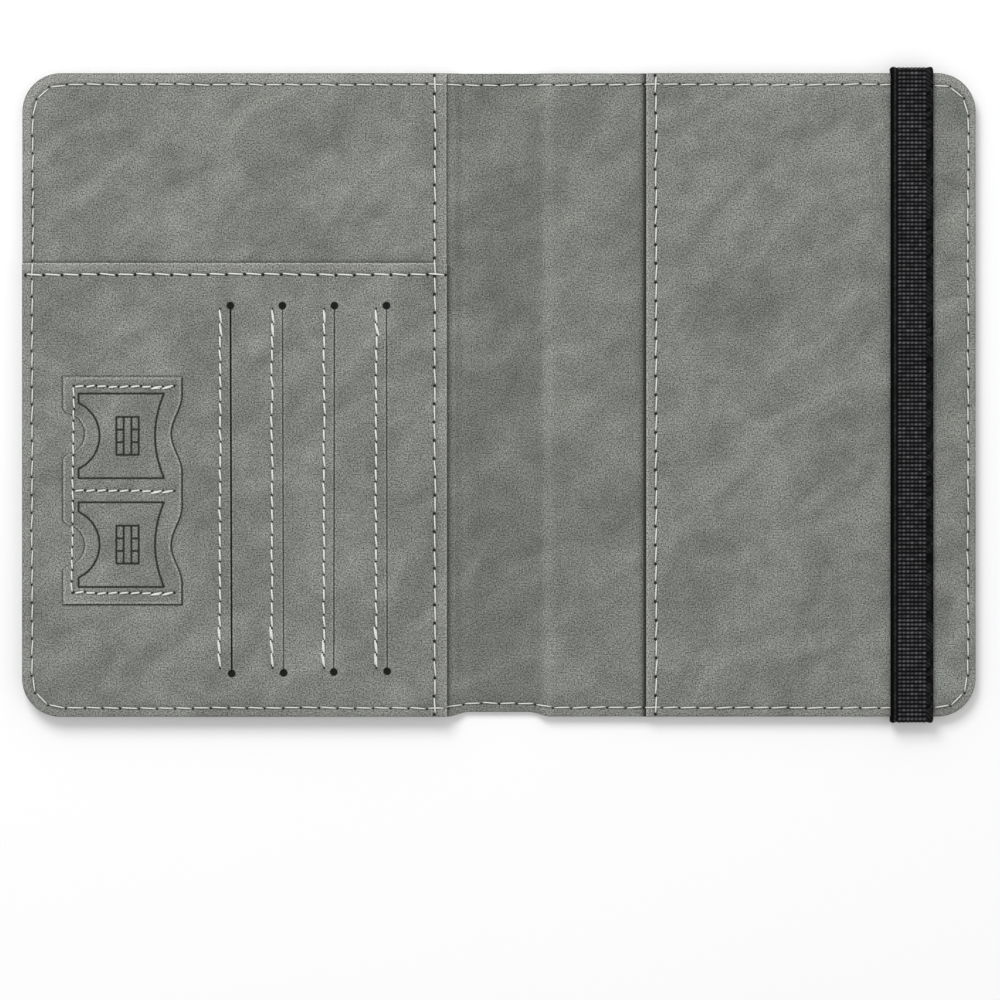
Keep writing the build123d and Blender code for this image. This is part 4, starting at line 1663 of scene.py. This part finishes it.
@dataclass
class Needlework(Leatherwork):
    """Every seam: the edge seam on both faces, and the topstitching of each pocket."""

    panel: CardPanel | None = None
    patch: CardPatch | None = None
    sleeve: PassportSleeve | None = None
    edge_pitch: float = 4.2
    edge_wander: float = 0.07
    boarding_x: float = 12.5
    outside_z: float = 0.3
    slit_tacks: tuple[int, ...] = (3, 3, 2, 3)
    crease: float = 80.0

    def inside_level(self, x: Array, y: Array) -> Array:
        """Height of whatever leather lies under a point of the inside.

        Args:
            x: x of each point.
            y: y of each point.

        Returns:
            One height for each point.
        """
        levels = self.layout.levels
        level = self.lining_level(x)
        level = np.where(x < -self.boarding_x, levels["boarding"], level)
        level = np.where((x < -self.panel.mouth_x) & (y < self.panel.top_y), levels["panel"], level)
        level = np.where(x > self.sleeve.mouth_x, levels["sleeve"], level)
        return level

    def edge_level(self, x: Array, y: Array) -> Array:
        """As inside_level, lowered by what the edge seam presses."""
        return self.inside_level(x, y) - self.pressed_depth

    def outside_level(self, x: Array, y: Array) -> Array:
        """Height of the outer leather's outside under the edge seam's holes, where it faces down."""
        return np.full(np.shape(x), self.outside_z)

    def raised_level(self, x: Array, y: Array) -> Array:
        """As inside_level, raised by the turned leather under a topstitched mouth."""
        return self.inside_level(x, y) + self.turned_lift - 0.04

    def edge_holes(self, side: Side, seed: int) -> Array:
        """Holes of the edge seam round one cover, from the top of the spine to its bottom.

        The path is a rounded rectangle set in from the edge, walked at an even pitch, and it
        follows the lower edge where that steps up beside the spine.

        Args:
            side: Which cover.
            seed: Seed of the holes' wander.

        Returns:
            One row per hole, x and y.
        """
        layout = self.layout
        wide, high, radius, (middle_x, middle_y) = layout.seam_outline
        far = wide + side * middle_x
        turn = np.linspace(0.0, np.pi / 2, 40)
        bend_x, bend_y = far - radius + radius * np.sin(turn), high - radius + radius * np.cos(turn)
        bend = np.column_stack([bend_x, bend_y])
        path = np.concatenate([[(0.0, high)], bend, bend[::-1] * (1.0, -1.0), [(0.0, -high)]])
        path = path + (0.0, middle_y)
        step = np.hypot(*np.diff(path, axis=0).T)
        travelled = np.concatenate([[0.0], np.cumsum(step)])
        count = round(travelled[-1] / self.edge_pitch)
        stops = np.linspace(0.0, travelled[-1], count + 1)
        holes = np.column_stack([np.interp(stops, travelled, values) for values in path.T])
        draw = np.random.default_rng(seed)
        holes[1:-1] += draw.normal(0.0, self.edge_wander, (count - 1, 2))
        holes[:, 0] *= side
        holes[:, 1] += layout.trim_shift(holes[:, 0], holes[:, 1])
        return holes

    def sew(self, name: str, seams: Sequence[Seam], body: str, node: str) -> bpy.types.Object:
        """Make one piece of several seams that ride on one body.

        Args:
            name: The piece's name.
            seams: Its lines of stitches.
            body: The moving body that carries it.
            node: The CAD node that it stands in for.

        Returns:
            The finished piece.
        """
        piece = self.gathered(seams).build(name, self.materials(), crease=self.crease)
        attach(piece, body)
        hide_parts(node)
        return piece

    @staticmethod
    def materials() -> list[bpy.types.Material]:
        """What a seam is made of: its thread first, then the dark of its holes."""
        return [Stock.THREAD.made, Stock.NEEDLE_HOLE.made]

    def gathered(self, seams: Sequence[Seam]) -> Surface:
        """Several seams as one surface.

        Args:
            seams: The lines of stitches.

        Returns:
            All of them, in order.
        """
        surface = seams[0].surface()
        for seam in seams[1:]:
            surface = surface.joined(seam.surface())
        return surface

    def edge_seam(self, side: Side) -> bpy.types.Object:
        """Edge seam of one cover and its half of the spine, inside and outside.

        Args:
            side: Which cover.

        Returns:
            The finished piece.
        """
        holes = self.edge_holes(side, 11 + side)
        fine = {"thread": 0.3, "slant": 0.08 * side, "hole_size": 0.5, "gap": 0.36}
        bold = {"thread": 0.34, "slant": -0.06, "hole_size": 1.0, "gap": 0.42}
        inner = Seam(holes, self.edge_level, hole_aside=0.18 * side, **fine)
        outer = Seam(holes, self.outside_level, facing=-1, hole_lift=0.2, **bold)
        surface = self.gathered([inner, outer])
        piece = surface.build(f"edge_stitches_{side.title}", self.materials(), crease=self.crease)
        bend_at_fold(piece)
        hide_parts(f"seam_{side.title}_edge", *(["seam_spine"] if side is Side.BACK else []))
        return piece

    def mouth_seams(self) -> list[bpy.types.Object]:
        """Topstitching along the boarding pocket's mouth, the card panel's top and the sleeve's mouth.

        Returns:
            The three pieces, in that order.
        """
        panel, sleeve, high = self.panel, self.sleeve, self.layout.half_height - 0.6
        left, right = -self.layout.half_width + 0.9, -panel.mouth_x - 0.3
        pieces = (
            ("pocket_mouth_stitches", "front_cover", "seam_pocket_edge"),
            ("card_panel_top_stitches", "front_cover", "seam_card_panel_top"),
            ("sleeve_mouth_stitches", "back_cover", "seam_sleeve_edge"),
        )
        rows = (
            even_holes((-panel.seam_x, -high), (-panel.seam_x, high), 4.27, 21),
            even_holes((left, panel.top_seam_y), (right, panel.top_seam_y), 4.2, 22),
            even_holes((sleeve.seam_x, -high), (sleeve.seam_x, high), 4.35, 23),
        )
        looks = (
            {"thread": 0.36, "slant": 0.1, "hole_size": 0.72, "hole_aside": 0.16},
            {"thread": 0.38, "slant": -0.14, "hole_size": 0.74, "hole_aside": -0.12},
            {"thread": 0.36, "slant": -0.12, "hole_size": 0.72, "hole_aside": 0.16},
        )
        made = []
        for (name, body, node), holes, look in zip(pieces, rows, looks):
            seam = Seam(holes, self.raised_level, gap=0.28, hole_lift=0.03, **look)
            made.append(self.sew(name, [seam], body, node))
        return made

    def slit_seam(self, number: int) -> bpy.types.Object:
        """Seam beside one slit, sewn back over itself at both ends.

        Args:
            number: Which slit, from 0 at the left.

        Returns:
            The finished piece.
        """
        x = self.panel.slits[number] - self.panel.slit_seam
        low, high = self.panel.slit_seam_ends
        holes = even_holes((x, high), (x, low), 3.1, 31 + number, wander=0.1)
        tacks = self.slit_tacks[number]
        seams = [Seam(holes, self.inside_level, hole_size=0.5, gap=0.2)]
        for stitches, at_end, seed in ((tacks, True, 41), (tacks - 1, False, 51)):
            back = backtack(holes, stitches, at_end, seed + number)
            seams.append(Seam(back, self.inside_level, hole_size=0.4))
        return self.sew(f"slit_stitches_{number + 1}", seams, "front_cover", f"seam_slot_{number + 1}")

    def patch_seam(self) -> bpy.types.Object:
        """E-shaped seam of the small patch, sewn back over itself at the right ends of its rows.

        Returns:
            The finished piece.
        """
        patch, seams = self.patch, []
        left, right, level = patch.seam_left, patch.seam_right, patch.level
        bold = {"thread": 0.42, "slant": 0.14, "hole_size": 0.56, "gap": 0.24, "hole_aside": 0.1}
        fine = {"thread": 0.38, "slant": 0.1, "hole_size": 0.5, "gap": 0.22, "hole_aside": 0.08}
        for number, y in enumerate(patch.seam_rows):
            row = even_holes((left, y), (right, y - 0.25), 2.7, 61 + number, wander=0.08)
            seams.append(Seam(row, level, hole_lift=0.03, **bold))
            seams.append(Seam(backtack(row, 2, True, 71 + number), level, thread=0.44, hole_size=0.3))
        upright = even_holes((left, patch.seam_rows[0]), (left - 0.5, patch.seam_rows[-1]), 2.7, 65)
        seams.append(Seam(upright, level, hole_lift=0.03, **fine))
        return self.sew("small_card_patch_stitches", seams, "front_cover", "seam_sim")

    def build(self) -> list[bpy.types.Object]:
        """Sew every seam.

        Returns:
            The pieces, in the order sewn.
        """
        made = [self.edge_seam(Side.FRONT), self.edge_seam(Side.BACK), *self.mouth_seams()]
        made += [self.slit_seam(number) for number in range(len(self.panel.slits))]
        return [*made, self.patch_seam()]


# ---------------------------------------------------------------------------------------------
# Elastic
# ---------------------------------------------------------------------------------------------


@dataclass
class ElasticBand:
    """Black woven elastic: ribbed middle, dense selvages, turned round the back cover's edges."""

    layout: Layout
    width: float = 10.0
    centre_x: float = 96.1
    ribbed: float = 6.3
    rib: float = 0.95
    thick: float = 0.9
    overhang: float = 1.35
    root_z: float = 1.45
    turn_radius: float = 1.0
    steps_per_rib: float = 4.75
    hem_lap: float = OuterCover.hem_width

    def centreline(self) -> tuple[Array, Array, Array]:
        """Middle of the elastic in YZ, and the direction its upper face looks.

        It runs up out of the lower edge, round a quarter turn, straight across the cover, round
        the other quarter turn and down again.

        Returns:
            Points (y, z), outward directions (y, z) and the length travelled at each.
        """
        top = self.layout.levels["band"] - self.thick / 2
        outer = self.layout.half_height + self.overhang - self.thick / 2
        radius = self.turn_radius
        turn = np.linspace(0.0, np.pi / 2, 9)
        rise = np.linspace(self.root_z, top - radius, 5)[:-1]
        up = np.column_stack([np.full_like(rise, -outer), rise])
        bend = np.column_stack([-outer + radius * (1 - np.cos(turn)), top - radius + radius * np.sin(turn)])
        run = np.arange(-outer + radius, outer - radius, self.rib / self.steps_per_rib)[1:]
        straight = np.column_stack([run, np.full_like(run, top)])
        half = np.concatenate([up, bend])
        half_face = np.concatenate([
            np.column_stack([-np.ones_like(rise), np.zeros_like(rise)]),
            np.column_stack([-np.cos(turn), np.sin(turn)]),
        ])
        points = np.concatenate([half, straight, half[::-1] * (-1, 1)])
        face = np.concatenate([half_face, np.tile([0.0, 1.0], (len(run), 1)), half_face[::-1] * (-1, 1)])
        travelled = np.concatenate([[0.0], np.cumsum(np.hypot(*np.diff(points, axis=0).T))])
        return points, face, travelled

    def weave(self, across: Array, along: Array) -> tuple[Array, Array]:
        """Relief of the weave, and its painted highlights.

        In the ribbed middle, raised cosine ribs run both ways and meet in a grid of dots. The
        selvages are finer and lower, with one bright warp near the left edge.

        Args:
            across: Distance from the band's middle.
            along: Distance along the band.

        Returns:
            Height in millimetres and a mark from 0 to 1, the painted highlight where the ribs
            cross and painted glints on one selvage.
        """
        inside = 1.0 - smooth((np.abs(across) - self.ribbed / 2) / 0.25)
        warp = 0.5 + 0.5 * np.cos(2 * np.pi * across / self.rib)
        weft = 0.5 + 0.5 * np.cos(2 * np.pi * along / self.rib)
        fine = 0.5 + 0.5 * np.cos(2 * np.pi * (along / self.rib + across / 1.1))
        draw = np.random.default_rng(7)
        row = np.round(along / self.rib).astype(int)
        column = np.round(across / self.rib).astype(int) + 8
        dots = draw.uniform(0.45, 1.15, (int(row.max()) + 1, 17))[row, column]
        yarns = draw.uniform(0.7, 1.0, int(row.max()) + 1)[row]
        lumps = draw.uniform(0.0, 0.5, (int(row.max()) + 1, 17))[row, column]
        edge_warp = dip(across + self.width / 2 - 1.05, 0.2)
        selvage = dip(np.abs(across) - self.width / 2 + 0.7, 0.55)
        round_edge = rolled(self.width / 2 - np.abs(across), 0.42)
        ribs, plain = inside * (0.1 * warp + 0.16 * weft), 0.06 + 0.22 * selvage + 0.04 * fine
        height = ribs + (1 - inside) * plain - round_edge
        # painted highlight where the ribs cross
        mark = inside * yarns * weft**2.0 * (0.24 + 0.76 * warp**1.5) * dots
        # painted glints, on one selvage only
        glints = (1 - inside) * 0.35 * fine * lumps * (across > 0)
        mark = mark + glints + (0.1 + 0.55 * lumps * fine) * edge_warp
        return height, np.clip(mark, 0.0, 1.0)

    def surface(self) -> Surface:
        """Closed strap: the woven face outside, a plainer face inside and rounded edges between.

        Returns:
            The closed strap.
        """
        points, face, travelled = self.centreline()
        half = self.width / 2
        edges = [(-half, 0.4, 0.1), (half, 0.4, 0.1)]
        across = grid_lines(-half, half, self.rib / self.steps_per_rib, edges)
        height, mark = self.weave(across[None, :], travelled[:, None])
        wide = self.centre_x + across
        sheets = []
        for sign in (1, -1):
            lift = sign * (self.thick / 2 - 0.2) + (height if sign > 0 else -0.4 * height)
            y = points[:, 0:1] + face[:, 0:1] * lift
            z = points[:, 1:2] + face[:, 1:2] * lift
            sheets.append(np.stack([np.broadcast_to(wide, y.shape), y, z], -1))
        quads, _ = slab_quads(len(points), len(across))
        flat = np.stack(np.broadcast_arrays(across, travelled[:, None], 0.0), -1).reshape(-1, 3)
        rest = np.concatenate([flat, flat])
        vertices = np.concatenate([sheet.reshape(-1, 3) for sheet in sheets])
        return Surface(vertices, quads, rest, np.concatenate([mark.ravel()] * 2))

    def root(self, up: int) -> Surface:
        """End of the elastic between the hem and the outside of the edge, flat and closed.

        Args:
            up: 1 for the upper end, -1 for the lower.

        Returns:
            The closed end.
        """
        high = self.layout.half_height
        inner, outer = high - self.hem_lap, high + self.overhang - 0.12
        y_line = grid_lines(inner, outer, 0.3, [(outer, 0.4, 0.1)])
        across = grid_lines(-self.width / 2 + 0.1, self.width / 2 - 0.1, 0.4, [])
        grid_y, grid_x = np.meshgrid(y_line, across, indexing="ij")
        rim = rolled(outer - grid_y, 0.35)
        top = self.root_z + 0.35 + 0.05 * np.cos(2 * np.pi * grid_y / self.rib) - rim
        bottom = self.root_z - 0.4 + rim
        if up < 0:
            grid_y, grid_x, top, bottom = -grid_y[::-1], grid_x[::-1], top[::-1], bottom[::-1]
        mark = np.full_like(grid_x, 0.2)
        return closed_slab(self.centre_x + grid_x, grid_y, top, bottom, mark, (0.0, 0.0))

    def build(self) -> list[bpy.types.Object]:
        """Make the strap and its two sewn-in ends.

        Returns:
            The strap and its two ends.
        """
        strap = self.surface().build("elastic_band", [Stock.ELASTIC.made])
        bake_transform(strap)
        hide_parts("band_strand", "band_wrap_top", "band_wrap_bottom")
        made = [strap]
        for up, name in ((1, "top"), (-1, "bottom")):
            piece = self.root(up).build(f"elastic_end_{name}", [Stock.ELASTIC.made])
            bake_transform(piece)
            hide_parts(f"band_tab_{name}")
            made.append(piece)
        return made


# ---------------------------------------------------------------------------------------------
# The CAD nodes that stay, and the studio
# ---------------------------------------------------------------------------------------------


def dress_frame(nodes: dict[str, bpy.types.Object]) -> None:
    """Give the hidden CAD pieces that stay their finishes.

    Args:
        nodes: The frame's nodes by name.
    """
    stocks = {"board_": Stock.BOARD, "rfid_": Stock.FOIL, "card_liner_": Stock.POUCH}
    for name, node in nodes.items():
        for start, stock in stocks.items():
            if name.startswith(start):
                node.data.materials.clear()
                node.data.materials.append(stock.made)


@dataclass(frozen=True)
class Lamp:
    """One soft square light aimed at the middle of the table. Its place and size are in metres."""

    name: str
    place: tuple[float, float, float]
    size: float
    watts: float

    def build(self) -> None:
        """Hang the light and turn it to the middle of the table."""
        data = bpy.data.lights.new(self.name, "AREA")
        data.size, data.energy = self.size, self.watts
        light = bpy.data.objects.new(self.name, data)
        light.location = self.place
        bpy.context.scene.collection.objects.link(light)
        aim = -np.array(self.place) / np.linalg.norm(self.place)
        light.rotation_euler = (float(np.arccos(-aim[2])), 0.0, float(np.arctan2(-aim[0], aim[1])))


@dataclass
class Studio:
    """A plain pale floor, soft light from the upper left and a camera straight above."""

    camera_at: Place = (0.23, -24.5)
    view_width: float = 232.9
    lens: float = 150.0
    subject_z: float = 3.5
    floor_half: float = 3000.0
    floor_z: float = -0.05
    surround: float = 0.6
    lamps: tuple[Lamp, ...] = (
        Lamp("key", (-0.42, 0.93, 1.0), 0.7, 12.5),
        Lamp("fill", (0.9, -0.5, 1.1), 1.2, 2.0),
    )

    def build(self) -> None:
        """Set the floor, the lights, the camera and how colours are shown."""
        scene = bpy.context.scene
        scene.view_settings.view_transform = "Standard"
        self.floor()
        self.lights()
        data = bpy.data.cameras.new("camera")
        data.lens = self.lens
        camera = bpy.data.objects.new("camera", data)
        scene.collection.objects.link(camera)
        distance = self.view_width / data.sensor_width * self.lens
        x, y = self.camera_at
        camera.location = (x * MM, y * MM, (distance + self.subject_z) * MM)
        data.clip_start, data.clip_end = 0.01, 10.0
        scene.camera = camera

    def floor(self) -> None:
        """Seamless pale tabletop."""
        material, tree, shader = new_material("pale_tabletop")
        place = add_node(tree, "ShaderNodeTexCoord").outputs["Object"]
        haze = add_node(tree, "ShaderNodeTexNoise", {"Vector": place, "Scale": 3.0}).outputs["Fac"]
        colour = add_node(
            tree, "ShaderNodeMix", {0: haze, 6: linear("#fbfbfb"), 7: linear("#fdfdfd")}, data_type="RGBA"
        ).outputs[2]
        tree.links.new(colour, shader.inputs["Base Color"])
        shader.inputs["Roughness"].default_value = 0.9
        shader.inputs["Specular IOR Level"].default_value = 0.1
        half = self.floor_half * MM
        corners = [(-half, -half, 0), (half, -half, 0), (half, half, 0), (-half, half, 0)]
        mesh = bpy.data.meshes.new("floor")
        mesh.from_pydata(corners, [], [(0, 1, 2, 3)])
        mesh.materials.append(material)
        floor = bpy.data.objects.new("floor", mesh)
        floor.location.z = self.floor_z * MM
        bpy.context.scene.collection.objects.link(floor)

    def lights(self) -> None:
        """A large key light from the upper left, a weak fill and an even surround."""
        world = bpy.data.worlds.new("surround")
        world.use_nodes = True
        background = world.node_tree.nodes["Background"]
        background.inputs["Color"].default_value = (1.0, 1.0, 1.0, 1.0)
        background.inputs["Strength"].default_value = self.surround
        bpy.context.scene.world = world
        for lamp in self.lamps:
            lamp.build()


def main() -> None:
    """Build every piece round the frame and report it."""
    logging.basicConfig(level=logging.INFO, format="%(message)s")
    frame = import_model()
    layout = Layout.from_frame()
    Studio().build()
    made = [OuterCover(layout, side=Side.FRONT, art=Artwork()).build()]
    made += [OuterCover(layout, side=Side.BACK).build()]
    made += [Lining(layout, side=side).build() for side in Side]
    panel, patch, sleeve = CardPanel(layout), CardPatch(layout), PassportSleeve(layout)
    made += [BoardingPocket(layout).build(), panel.build(), patch.build(), sleeve.build()]
    made += Needlework(layout, panel=panel, patch=patch, sleeve=sleeve).build()
    made += ElasticBand(layout).build()
    dress_frame(frame["nodes"])
    for piece in made:
        LOG.info("%s: %d faces", piece.name, len(piece.data.polygons))


if __name__ == "__main__":
    main()
